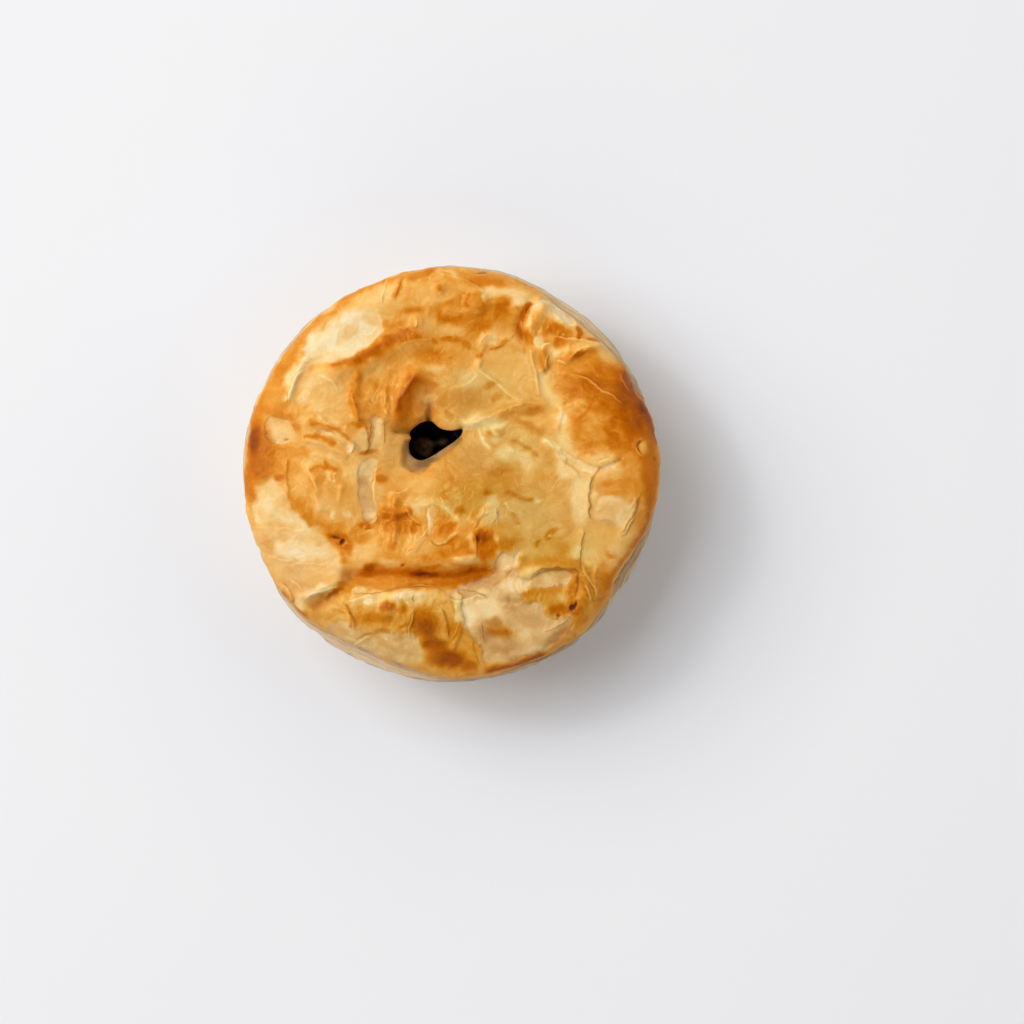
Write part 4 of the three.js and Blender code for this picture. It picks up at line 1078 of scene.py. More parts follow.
@dataclass
class PastryLid:
    """The puff-pastry lid: a domed disc with a layered side, in relief, open at the steam vent."""

    sizes: PieSizes
    crown: float = 25.7
    dome: float = 1.1
    shoulder: float = 5.2
    squareness: float = 3.2
    side: float = 1.6
    settle: float = 0.2
    grid_steps: int = 256
    side_rings: int = 12
    vent_rings: int = 8
    leaf: float = 0.36
    wrap: float = 0.6
    rim_line_gap: float = 0.85
    outward: float = 0.6
    arc_steps: int = 400
    relax_passes: int = 6
    ground_tone: float = 0.48
    ledge_tone: float = 0.62
    wall_tone: float = 0.3
    wall_bare: float = 0.7
    grain: Grain = field(default_factory=lambda: Grain(41))
    drift: Grain = field(default_factory=lambda: Grain(67))

    @property
    def flat(self) -> float:
        """Radius of the level middle."""
        return self.sizes.lid_radius - self.shoulder

    def shoulder_arc(self) -> tuple[Array, Array, Array]:
        """Traces the lid's section from the level middle over the rounded shoulder.

        Returns:
            Length along the section from the axis, and the radius and height there.
        """
        turn = np.linspace(math.pi / 2, 0.0, self.arc_steps)
        rise = self.crown - self.sizes.lid_underside - self.side
        bend = 2.0 / self.squareness
        radius = self.flat + self.shoulder * np.power(np.maximum(np.cos(turn), 0.0), bend)
        height = self.sizes.lid_underside + self.side + rise * np.power(np.sin(turn), bend)
        runs = np.hypot(np.diff(radius), np.diff(height))
        return self.flat + np.concatenate(([0.0], np.cumsum(runs))), radius, height

    def edge(self, angle: Array) -> Array:
        """The lid's outer edge in each direction, drawn back in places.

        Args:
            angle: Directions in radians.

        Returns:
            The edge's radius.
        """
        turn = np.degrees(angle) % 360.0
        radius = np.full_like(angle, self.sizes.lid_radius)
        for middle, depth, spread in DRAWN_BACK:
            radius -= depth * bell(((turn - middle + 180.0) % 360.0 - 180.0) / spread)
        around = self.sizes.lid_radius * np.cos(angle), self.sizes.lid_radius * np.sin(angle)
        return radius + 0.26 * self.drift.cloud(*around, 4.0, 4) - 0.1

    def lay_out(self, mesh_in: bmesh.types.BMesh) -> None:
        """Bends a square grid into the disc that the lid's top unrolls to.

        Args:
            mesh_in: A grid from -1 to 1, changed in place.
        """
        spread = self.shoulder_arc()[0][-1]
        for vertex in mesh_in.verts:
            u, v, _ = vertex.co
            if u == 0.0 and v == 0.0:
                continue
            if abs(u) > abs(v):
                ring, turn = u, math.pi / 4 * v / u
            else:
                ring, turn = v, math.pi / 2 - math.pi / 4 * u / v
            vertex.co = spread * ring * math.cos(turn), spread * ring * math.sin(turn), 0.0

    def open_vent(self, mesh_in: bmesh.types.BMesh) -> list[bmesh.types.BMEdge]:
        """Cuts the vent out of the disc and draws its edge onto the outline.

        Args:
            mesh_in: The disc, changed in place.

        Returns:
            The edges round the hole.
        """
        outline = smooth_route(VENT_OUTLINE, closed=True)
        centres = np.array([face.calc_center_median().xy for face in mesh_in.faces])
        hole = inside_route(outline, centres[:, 0], centres[:, 1])
        doomed = [face for face, gone in zip(mesh_in.faces, hole) if gone]
        bmesh.ops.delete(mesh_in, geom=doomed, context="FACES")
        rim = [edge for edge in mesh_in.edges if edge.is_boundary and edge.verts[0].co.length < self.flat]
        corners = list({vertex for edge in rim for vertex in edge.verts})
        places = np.array([vertex.co.xy for vertex in corners])
        spot = nearest_on_route(outline, places[:, 0], places[:, 1])
        for vertex, x, y in zip(corners, spot.x, spot.y):
            vertex.co.xy = x, y
        around = {face for vertex in corners for face in vertex.link_faces}
        ring = {vertex for face in around for vertex in face.verts}
        ring = {vertex for start in ring for face in start.link_faces for vertex in face.verts}
        relaxed = list(ring - set(corners))
        for _ in range(self.relax_passes):
            bmesh.ops.smooth_vert(
                mesh_in, verts=relaxed, factor=0.5, use_axis_x=True, use_axis_y=True, use_axis_z=False
            )
        return rim

    def ringed(
        self, mesh_in: bmesh.types.BMesh, rim: list[bmesh.types.BMEdge], codes: Sequence[int]
    ) -> list[bmesh.types.BMEdge]:
        """Extrudes an edge loop ring by ring and notes each ring's number.

        Args:
            mesh_in: The mesh, changed in place.
            rim: The loop to start from.
            codes: The number of each new ring.

        Returns:
            The last loop's edges.
        """
        number = mesh_in.verts.layers.int["ring"]
        for code in codes:
            grown = bmesh.ops.extrude_edge_only(mesh_in, edges=rim)["geom"]
            rim = [part for part in grown if isinstance(part, bmesh.types.BMEdge)]
            rim = [edge for edge in rim if edge.is_boundary]
            for edge in rim:
                for vertex in edge.verts:
                    vertex[number] = code
        return rim

    def blank(self) -> tuple[bpy.types.Mesh, Array]:
        """Makes the lid's mesh unrolled flat, with every ring numbered.

        Returns:
            The mesh, and for each vertex its ring: 0 on top, below 0 round the outside, above 0 in the vent.
        """
        shell = bmesh.new()
        bmesh.ops.create_grid(shell, x_segments=self.grid_steps, y_segments=self.grid_steps, size=1.0)
        shell.verts.layers.int.new("ring")
        self.lay_out(shell)
        vent_rim = self.open_vent(shell)
        number = shell.verts.layers.int["ring"]
        for edge in vent_rim:
            for vertex in edge.verts:
                vertex[number] = 1
        outer_rim = [edge for edge in shell.edges if edge.is_boundary and edge.verts[0].co.length > self.flat]
        foot = self.ringed(shell, vent_rim, range(2, self.vent_rings + 2))
        hem = self.ringed(shell, outer_rim, range(-1, -self.side_rings - 3, -1))
        bmesh.ops.bridge_loops(shell, edges=foot + hem)
        bmesh.ops.recalc_face_normals(shell, faces=shell.faces)
        mesh = as_mesh("puff_lid", shell)
        rings = np.empty(len(mesh.vertices), int)
        mesh.attributes["ring"].data.foreach_get("value", rings)
        mesh.attributes.remove(mesh.attributes["ring"])
        return mesh, rings

    def drifted(
        self, x: Array, y: Array, amount: float, size: float = 2.4, octaves: int = 4
    ) -> tuple[Array, Array]:
        """Shifts places by noise, so that what is drawn there gets a ragged edge.

        Args:
            x: Places across.
            y: Places away.
            amount: How far a place may shift.
            size: Size of the largest waves.
            octaves: How many sizes of wave.

        Returns:
            The shifted places.
        """
        across = self.drift.cloud(x, y, size, octaves)
        away = self.drift.cloud(x + 40, y - 25, size, octaves)
        return x + amount * across, y + amount * away

    def torn_leaves(
        self, x: Array, y: Array, ragged: tuple[Array, Array], tone: Array
    ) -> tuple[Array, Array, Array, Array]:
        """The patches where the top leaf came away.

        Args:
            x: Places across.
            y: Places away.
            ragged: The same places, shifted for torn edges.
            tone: Browning before the leaf came away.

        Returns:
            The rise of the surface, the browning of the top leaf and of the leaf under it, how far in from
            a crisp torn edge a place is, and how bare it is.
        """
        mottle = 0.15 * self.grain.cloud(*self.drifted(x + 9, y, 0.8), 2.6, 3)
        fade = 0.3 + 1.4 * ease(self.drift.at(x + 3, y - 8, 6.0), -0.1, 0.5)
        rise, bare, torn = np.zeros_like(x), np.zeros_like(x), np.full_like(x, -2.0)
        over, under = tone.copy(), tone.copy()
        for flake in FLAKES:
            inset = flake.inset(*ragged)
            inside = ease(inset / (flake.soft * fade), -1.0, 1.0)
            rise -= flake.drop * ease(inset, -0.15, 0.25)
            rise += 0.25 * flake.drop * bell((inset + 0.5) / 0.4)
            bare = np.maximum(bare, flake.bare * inside)
            if flake.fades:
                over += (flake.level + mottle - over) * inside
                under += (flake.level + mottle - under) * inside
            else:
                under = np.where(inset > np.maximum(torn, -1.0), flake.level + mottle, under)
                torn = np.maximum(torn, inset)
        return rise, np.stack((over, under)), torn, bare

    def leaf_edges(self, x: Array, y: Array) -> tuple[Array, dict[Mask, Array]]:
        """The edges of leaves that lie over others, and the cracks.

        Args:
            x: Places across.
            y: Places away.

        Returns:
            The rise of the surface, and the masks that draw the edges, with painted highlight and shadow, and
            the cracks.
        """
        rise, pale, dark, crack = (np.zeros_like(x) for _ in range(4))
        edge, second, cleft = (np.full_like(x, 1.0) for _ in range(3))
        for lip in LIPS:
            lip_rise, over, whole = lip.lie(x, y)
            rise += lip_rise
            closer = np.abs(over) < np.abs(edge)
            second = np.where(closer, np.abs(edge), np.minimum(second, np.abs(over)))
            edge = np.where(closer, over, edge)
            # Painted highlight and painted shadow of the closest leaf edge
            pale = np.where(closer, lip.pale * whole, pale)
            dark = np.where(closer, lip.dark * whole, dark)
        alone = ease(second - np.abs(edge), 0.0, 0.35)
        for line in CRACKS:
            _, over, whole = line.lie(x, y)
            closer = np.abs(over) < np.abs(cleft)
            cleft = np.where(closer, over, cleft)
            crack = np.where(closer, line.open * whole, crack)
        masks = {Mask.EDGE: edge, Mask.PALE_EDGE_AND_HIGHLIGHT: alone * pale, Mask.DARK: alone * dark}
        return rise, masks | {Mask.CLEFT: cleft, Mask.CRACK: crack}

    def leaf_sheets(self, x: Array, y: Array) -> tuple[Array, Array]:
        """Terraces of thin leaves all over the lid, each a little paler or browner than the next.

        Args:
            x: Places across.
            y: Places away.

        Returns:
            The rise of the surface, and the tone that the leaves add, with a painted highlight along each
            edge.
        """
        def layers(across: Array, away: Array) -> Array:
            """How many leaves lie at a place."""
            torn = self.drifted(*self.drifted(across, away, 1.0, 3.0, 2), 0.35, 0.9, 2)
            return 2.6 * self.grain.cloud(*torn, 5.5, 2)

        here, step = layers(x, y), 0.1
        slope = np.hypot(layers(x + step, y) - here, layers(x, y + step) - here) / step
        inset = (here % 1.0 - 0.5) / np.maximum(slope, 0.15)
        count = np.floor(here)
        above = ease(inset, -0.12, 0.12)
        leafy = 0.3 + 0.7 * ease(self.grain.at(x - 30, y + 12, 9.0), -0.1, 0.6)
        rise = 0.10 * leafy * (count + above - here)
        below_tone, above_tone = np.sin(2.4 * count), np.sin(2.4 * (count + 1))
        tone = 0.06 * (below_tone + (above_tone - below_tone) * above)
        # A paler line just above each leaf's edge: painted highlight
        tone -= 0.06 * bell((inset - 0.15) / 0.2)
        return rise, leafy * tone

    def skin(self, x: Array, y: Array) -> tuple[Array, Array]:
        """Creases and lumps of the glazed skin.

        Args:
            x: Places across.
            y: Places away.

        Returns:
            The rise of the surface, and the tone that the creases add.
        """
        creased = self.drifted(x, y, 0.5)
        crests = sum(crumple.crests(self.grain, *creased) for crumple in CRUMPLES)
        busy = sum(crumple.area.level * crumple.area.cover(x, y) for crumple in CRUMPLES)
        lumps = self.grain.cloud(x + 11, y + 7, 3.0, 2)
        # Crests are paler than the furrows: thinner glaze on the crests, and painted highlight
        return 1.2 * crests + 0.05 * lumps, -1.0 * (crests - 0.3 * busy)

    def vent_sag(self, x: Array, y: Array) -> tuple[Array, Array, Array]:
        """Sag of the pastry towards the vent, with a ledge of inner wall on the near left.

        Args:
            x: Places across.
            y: Places away.

        Returns:
            The sag, below zero, how much of the ledge a place has, and its painted shade.
        """
        outline = smooth_route(VENT_OUTLINE, closed=True)
        distance = nearest_on_route(outline, x, y).distance
        ledge = Flake(VENT_LEDGE, 1.3).inset(*self.drifted(x, y, 0.3))
        sunk = ease(ledge, -0.3, 0.7)
        lip = np.exp(-np.power(distance / 0.8, 1.3))
        slits = painted(VENT_SHADES, *self.drifted(x, y, 0.25), np.zeros_like(x))
        return -0.8 * lip - 1.1 * sunk, sunk, slits

    def shape(self, mesh: bpy.types.Mesh, rings: Array) -> dict[Mask, Array]:
        """Moves every vertex of the blank to its place on the baked lid.

        Args:
            mesh: The blank, changed in place.
            rings: The ring of each vertex.

        Returns:
            The masks that the finish reads.
        """
        places = vertex_places(mesh)
        spread = np.hypot(places[:, 0], places[:, 1])
        angle = np.arctan2(places[:, 1], places[:, 0])
        length, arc_radius, arc_height = self.shoulder_arc()
        edge = self.edge(angle)
        radius = np.where(spread < self.flat, spread, np.interp(spread, length, arc_radius))
        height = np.where(spread < self.flat, self.crown, np.interp(spread, length, arc_height))
        beyond = np.maximum(spread - radius, 0.0)
        radius *= 1 + (edge / self.sizes.lid_radius - 1) * ease(radius, 0.6 * edge, edge)
        x, y = radius * np.cos(angle), radius * np.sin(angle)
        u, v = x + beyond * np.cos(angle), y + beyond * np.sin(angle)

        top = ease(height, self.sizes.lid_underside + self.side, self.crown)
        leaf_rise, leaf_tone = self.leaf_sheets(u, v)
        skin_rise, skin_tone = self.skin(u, v)
        sag, ledge, shade = self.vent_sag(x, y)
        pit = painted(PITS, *self.drifted(x, y, 0.18), np.zeros_like(x))
        inward = length[-1] - spread
        rim_lines = np.sin(2 * math.pi * (inward / self.rim_line_gap + 0.8 * self.grain.cloud(u, v, 6.0)))
        rim_lines *= bell((inward - 2.0) / 2.2) * ease(self.grain.at(u, v, 5.0), -0.1, 0.6)
        tone = np.full_like(x, self.ground_tone) + 0.10 * self.grain.cloud(u, v, 5.0, 4)
        across, away = self.drifted(*self.drifted(u, v, 0.15, 5.0, 2), 0.32, 1.5, 5)
        across -= self.wrap * beyond * np.cos(angle)
        away -= self.wrap * beyond * np.sin(angle)
        ragged = across, away
        tone = painted(BROAD_TONES, *ragged, tone)
        tone = painted(PALE_TONES, *ragged, tone)
        torn_rise, tones, torn, bare = self.torn_leaves(u, v, ragged, tone)
        tones = painted(FINE_TONES, *ragged, tones)
        lip_rise, masks = self.leaf_edges(*self.drifted(x, y, 0.2, 1.4, 3))
        calm = (1 - 0.65 * ease(tones, 0.62, 0.85)) * (1 - summed(SMOOTH, x, y))
        # The last term makes the near side of the lid darker: painted shade where it faces away from the
        # light
        tones += calm * (leaf_tone + skin_tone) + 0.06 * rim_lines + 0.045 * ease(-y, 12.0, 22.0)
        tones += (self.ledge_tone - tones) * ledge
        bare = np.maximum(painted(DULL, *ragged, bare), ledge)
        sallow = painted(SALLOW, *ragged, np.zeros_like(x))
        burnt = painted(BURNT, *self.drifted(x, y, 0.15), np.zeros_like(x))
        tone, under = painted(BURNT, *self.drifted(x, y, 0.15), tones)

        broad = summed(SWELLS, x, y) + summed(BLISTERS, x, y)
        broad += 1.25 * summed(FOLDS, *self.drifted(x, y, 0.4, 4.0, 2))
        small = torn_rise + leaf_rise + skin_rise + lip_rise + 0.09 * rim_lines - 0.25 * pit - 0.3 * burnt
        lean = ease(radius, self.flat, self.sizes.lid_radius)
        grown = 1 + self.outward * lean * small / np.maximum(radius, 1.0)
        doming = self.dome * np.minimum(radius / self.flat, 1.0) ** 2
        height += top * (broad + sag - doming) + (1 - self.outward * lean) * small * ease(top, 0.0, 0.3)

        places = np.column_stack((x * grown, y * grown, height))
        self.hang_side(places, rings, angle, edge, tone, bare)
        self.hang_vent(places, rings, tone, bare)
        move_vertices(mesh, places)
        # Painted shade: deeper down the vent's wall, and in its slits and on its ledge
        vent_wall_shade = np.clip((self.crown - 1.0 - places[:, 2]) / 5.0, 0.0, 1.0)
        depth = np.where(rings > 0, np.maximum(vent_wall_shade, shade), shade)
        glaze = (1 - 0.7 * bare) * (1 - lean) * (1 - np.minimum(burnt, 1.0)) * (rings == 0)
        masks |= {Mask.BROWN: tone, Mask.UNDER: np.where(rings == 0, under, tone), Mask.TORN: torn}
        masks[Mask.SALLOW] = sallow
        return masks | {Mask.BARE: bare, Mask.PIT: pit, Mask.DEPTH: depth, Mask.GLAZE: glaze}

    def hang_side(
        self, places: Array, rings: Array, angle: Array, edge: Array, tone: Array, bare: Array
    ) -> None:
        """Places the layered side and the underside.

        Args:
            places: All vertices, changed in place.
            rings: The ring of each vertex.
            angle: The direction of each vertex.
            edge: The lid's edge in that direction.
            tone: Browning, changed in place.
            bare: Bareness, changed in place.
        """
        outside = rings < 0
        down = np.minimum(-rings / self.side_rings, 1.0)
        height = self.sizes.lid_underside + self.side * (1 - down) - self.settle * down
        around = edge * angle
        wave = self.grain.cloud(around, height, 7.0, 2)
        layers = np.sin(2 * math.pi * (height + 0.16 * wave) / self.leaf)
        ragged = self.drift.cloud(around, 3 * height, 1.6, 3)
        radius = edge + 0.12 * layers + 0.14 * ragged - 0.5 * down
        radius = np.where(rings == -self.side_rings - 1, 0.8 * edge, radius)
        radius = np.where(rings == -self.side_rings - 2, 0.42 * edge, radius)
        places[outside, 0] = (radius * np.cos(angle))[outside]
        places[outside, 1] = (radius * np.sin(angle))[outside]
        places[outside, 2] = height[outside]
        side_tone = 0.24 + 0.10 * layers + 0.10 * ragged
        tone[outside] = (tone * (1 - down) + side_tone * down)[outside]
        bare[outside] = np.maximum(bare, 0.8 * ease(down, 0.0, 0.4))[outside]

    def hang_vent(self, places: Array, rings: Array, tone: Array, bare: Array) -> None:
        """Places the vent's wall, from its rim down to the underside.

        Args:
            places: All vertices, changed in place.
            rings: The ring of each vertex.
            tone: Browning, changed in place.
            bare: Bareness, changed in place.
        """
        wall = rings > 1
        down = (rings - 1) / self.vent_rings
        height = places[:, 2] * (1 - down) + self.sizes.lid_underside * down
        middle = np.array(VENT_OUTLINE).mean(0)
        bulge = 1 + 0.08 * np.sin(math.pi * down) + 0.1 * down
        for axis in (0, 1):
            places[wall, axis] = (middle[axis] + (places[:, axis] - middle[axis]) * bulge)[wall]
        places[wall, 2] = height[wall]
        tone[wall] = self.wall_tone
        bare[wall] = self.wall_bare

    def build(self) -> bpy.types.Object:
        """Builds the lid and dresses it.

        Returns:
            The finished piece.
        """
        mesh, rings = self.blank()
        masks = self.shape(mesh, rings)
        return as_piece(mesh, masks, GlazedPuff().material(), "pastry_lid")


@dataclass
class PastryCase:
    """The shortcrust case: a tapered cup turned from a section, hand-pressed and baked in a tin."""

    sizes: PieSizes
    lid: PastryLid
    base_share: float = 0.84
    wall: float = 3.2
    floor: float = 3.0
    rounding: float = 1.2
    rim_inset: float = 0.35
    rim_rounding: float = 0.25
    lip_rounding: float = 0.4
    foot_gap: float = 0.65
    foot_rounding: float = 1.3
    base_rings: int = 26
    rim_rings: int = 14
    leaf: float = 0.62
    turns: int = 420
    wall_rings: int = 40
    grain: Grain = field(default_factory=lambda: Grain(23))

    @property
    def base_radius(self) -> float:
        """Radius of the flat base."""
        return self.base_share * self.sizes.rim_radius

    def side_radius(self, height: Array) -> Array:
        """The outside's radius at each height: it leans out and is a little convex."""
        rim = self.sizes.rim_radius - self.rim_inset
        return self.base_radius + (rim - self.base_radius) * np.power(height / self.sizes.rim_height, 0.9)

    def section(self) -> list[Point]:
        """Draws half of the case's section.

        Returns:
            Points of radius and height, from the middle of the base round to the middle of the floor.
        """
        base, rim, top = self.base_radius, self.sizes.rim_radius - self.rim_inset, self.sizes.rim_height
        corner = base - self.rounding
        points = [(share * corner, 0.0) for share in np.linspace(0.0, 1.0, self.base_rings)]
        turn = np.linspace(-math.pi / 2, 0.1, 5)[1:]
        points += [
            (corner + self.rounding * math.cos(lean), self.rounding * (1 + math.sin(lean))) for lean in turn
        ]
        heights = np.linspace(1.6 * self.rounding, top - self.rim_rounding, self.wall_rings)
        points += list(zip(self.side_radius(heights), heights))
        inside = rim - self.wall
        radii = np.linspace(rim - self.rim_rounding, inside + self.lip_rounding, self.rim_rings)
        points += [(radius, top) for radius in radii]
        points += [(inside, top - self.lip_rounding)]
        foot = base - self.wall + self.foot_gap
        points += [((inside + foot) / 2, (top + self.floor) / 2), (foot, self.floor + self.foot_rounding)]
        points += [(foot - self.foot_rounding, self.floor), (foot / 2, self.floor), (0.0, self.floor)]
        return points

    def shape(self, mesh: bpy.types.Mesh) -> dict[Mask, Array]:
        """Presses dents, layers and crumb into the turned cup.

        Args:
            mesh: The cup, changed in place.

        Returns:
            The masks that the finish reads.
        """
        places = vertex_places(mesh)
        x, y, z = places.T
        radius, angle = np.hypot(x, y), np.arctan2(y, x)
        outside = radius > self.side_radius(np.maximum(z, 0.0)) - 0.5 * self.wall
        rise = ease(z, 0.3, 3.0)
        around = self.sizes.rim_radius * angle
        lap = np.abs(around) / (math.pi * self.sizes.rim_radius)
        seam = ease(lap, 0.9, 1.0)
        flow = self.grain.cloud(around, z, 9.0, 3) * (1 - seam)
        pressed = self.grain.cloud(around, z - 30, 1.3, 3) * (1 - seam)
        crumb = np.where(outside, pressed, self.grain.cloud(x, y, 1.2, 3))
        near_rim = ease(z, self.sizes.rim_height - 5.0, self.sizes.rim_height)
        layers = np.sin(2 * math.pi * (z + 0.5 * flow) / 0.75)
        swell = 0.16 * np.sin(5 * angle + 0.8) + 0.12 * np.sin(8 * angle + 2.4)
        swell += 0.22 * flow + 0.07 * crumb + (0.03 + 0.1 * near_rim) * layers
        grown = np.where(outside, 1 + rise * swell / np.maximum(radius, 1.0), 1.0)
        on_base = (z < 0.05) & (radius < self.base_radius)
        pocks = 0.12 * np.maximum(self.grain.cloud(x, y, 3.0, 3), 0.0)
        pocks *= ease(self.base_radius - radius, 1.0, 3.0)
        on_rim = z > self.sizes.rim_height - 0.02
        beyond_lid = radius - self.lid.edge(angle)
        wavy = beyond_lid + 0.35 * self.grain.cloud(around, z, 8.0, 2)
        rim_leaves = np.sin(2 * math.pi * wavy / self.leaf)
        z = z + np.where(on_base, pocks, 0.0) + np.where(on_rim, 0.12 * rim_leaves - 0.12, 0.0)
        places = np.column_stack((x * grown, y * grown, z))
        move_vertices(mesh, places)
        tone = 0.30 + 0.12 * flow + 0.09 * crumb
        tone += 0.22 * (1 - ease(z, 0.0, 6.0)) + 0.10 * near_rim * np.maximum(layers, 0.0)
        patchy = 0.14 * ease(self.grain.cloud(around, 1.6 * z, 12.0, 3), 0.0, 0.7) * (1 - seam)
        tone += np.where(outside & ~on_rim, 0.08 + patchy, 0.0)
        tone += np.where(on_rim, 0.16 * np.maximum(-rim_leaves, 0.0) - 0.12, 0.0)
        high_up = ease(z, 0.55 * self.sizes.rim_height, self.sizes.rim_height)
        bare = np.where(outside, 0.1 + 0.5 * high_up, 0.8)
        bare = np.where(on_rim, 0.74, bare)
        # Painted shadow of the lid's edge on the case's rim
        seam = np.where(on_rim, 0.25 * bell((beyond_lid - 0.05) / 0.25), 0.0)
        return {Mask.BROWN: tone, Mask.BARE: bare, Mask.DEPTH: seam}

    def build(self) -> bpy.types.Object:
        """Builds the case and dresses it.

        Returns:
            The finished piece.
        """
        mesh = turned("shortcrust_case", self.section(), self.turns)
        masks = self.shape(mesh)
        return as_piece(mesh, masks, BakedShortcrust().material(), "pastry_case")


@dataclass
class Filling:
    """The dark filling: it runs through the pie, and has sunk into lumpy gravy under the vent."""

    sizes: PieSizes
    gap: float = 0.3
    floor_radius: float = 24.2
    rounding: float = 1.3
    sink: Patch = Patch(-2.8, 4.9, 10, 9, 15, -4.0, soft=0.95)
    lumps: tuple[Feature, ...] = as_features(
        (-4.4, 4.5, 1.5, 1.4, 20, 2), (-1.2, 5.2, 1.2, 1, 0, 1.15), (-3.6, 8.2, 1.9, 1.4, 0, 0.8),
        (-2.4, 1.6, 1.8, 1.5, -30, 0.8), (2.6, 6.6, 1.7, 1.6, 0, 0.8), (-7.4, 6.4, 1.7, 1.6, 0, 0.8),
        soft=0.9,
    )
    ripple: float = 0.25
    turns: int = 180
    top_rings: int = 64
    grain: Grain = field(default_factory=lambda: Grain(5))

    def section(self) -> list[Point]:
        """Draws half of the filling's section.

        Returns:
            Points of radius and height, from the middle of its floor round to the middle of its top.
        """
        top, floor, side = self.sizes.rim_height, self.sizes.filling_floor, self.floor_radius
        points = [(0.0, floor), (side - self.rounding, floor), (side, floor + self.rounding)]
        shares = np.linspace(1.0, 0.0, self.top_rings)
        return points + [(self.sizes.filling_radius * share, top) for share in shares]

    def build(self) -> bpy.types.Object:
        """Builds the filling and dresses it.

        Returns:
            The finished piece.
        """
        mesh = turned("gravy_filling", self.section(), self.turns)
        places = vertex_places(mesh)
        x, y, z = places.T
        top, lumps = self.sizes.rim_height, summed(self.lumps, x, y)
        level = top + self.sink.level * self.sink.cover(x, y) + lumps
        level += self.ripple * self.grain.cloud(x, y, 1.8, 3)
        places[:, 2] = np.where(z > top - self.gap, np.minimum(level, top), z)
        move_vertices(mesh, places)
        return as_piece(mesh, {Mask.BROWN: lumps}, DarkGravy().material(), "filling")


# Finishes

def srgb(red: int, green: int, blue: int) -> Colour:
    """A display colour from 0 to 255 as the linear colour that shaders take.

    Args:
        red: Red, 0 to 255.
        green: Green, 0 to 255.
        blue: Blue, 0 to 255.

    Returns:
        The linear colour, opaque.
    """
    shares = [channel / 255 for channel in (red, green, blue)]
    linear = [share / 12.92 if share < 0.04045 else ((share + 0.055) / 1.055) ** 2.4 for share in shares]
    return linear[0], linear[1], linear[2], 1.0


class Signal:
    """One output of a shader node. Arithmetic on it adds Math nodes."""

    def __init__(self, bench: "Bench", socket: bpy.types.NodeSocket) -> None:
        """Wraps a socket of a bench's material."""
        self.bench = bench
        self.socket = socket

    def _math(self, operation: str, first: "Signal | float", second: "Signal | float" = 0.0) -> "Signal":
        """Adds one Math node."""
        return self.bench.node("ShaderNodeMath", {"operation": operation}, {0: first, 1: second})

    def __add__(self, other: "Signal | float") -> "Signal":
        """self + other."""
        return self._math("ADD", self, other)

    __radd__ = __add__

    def __sub__(self, other: "Signal | float") -> "Signal":
        """self - other."""
        return self._math("SUBTRACT", self, other)

    def __rsub__(self, other: float) -> "Signal":
        """other - self."""
        return self._math("SUBTRACT", other, self)

    def __mul__(self, other: "Signal | float") -> "Signal":
        """self * other."""
        return self._math("MULTIPLY", self, other)

    __rmul__ = __mul__

    def floor(self) -> "Signal":
        """The whole number below."""
        return self._math("FLOOR", self)

    def fraction(self) -> "Signal":
        """The part above the whole number."""
        return self._math("FRACT", self)

    def sine(self) -> "Signal":
        """The sine of an angle in radians."""
        return self._math("SINE", self)

    def ease(self, low: float, high: float) -> "Signal":
        """Smooth step from 0 at low to 1 at high."""
        inputs = {"Value": self, "From Min": low, "From Max": high}
        return self.bench.node("ShaderNodeMapRange", {"interpolation_type": "SMOOTHSTEP"}, inputs)


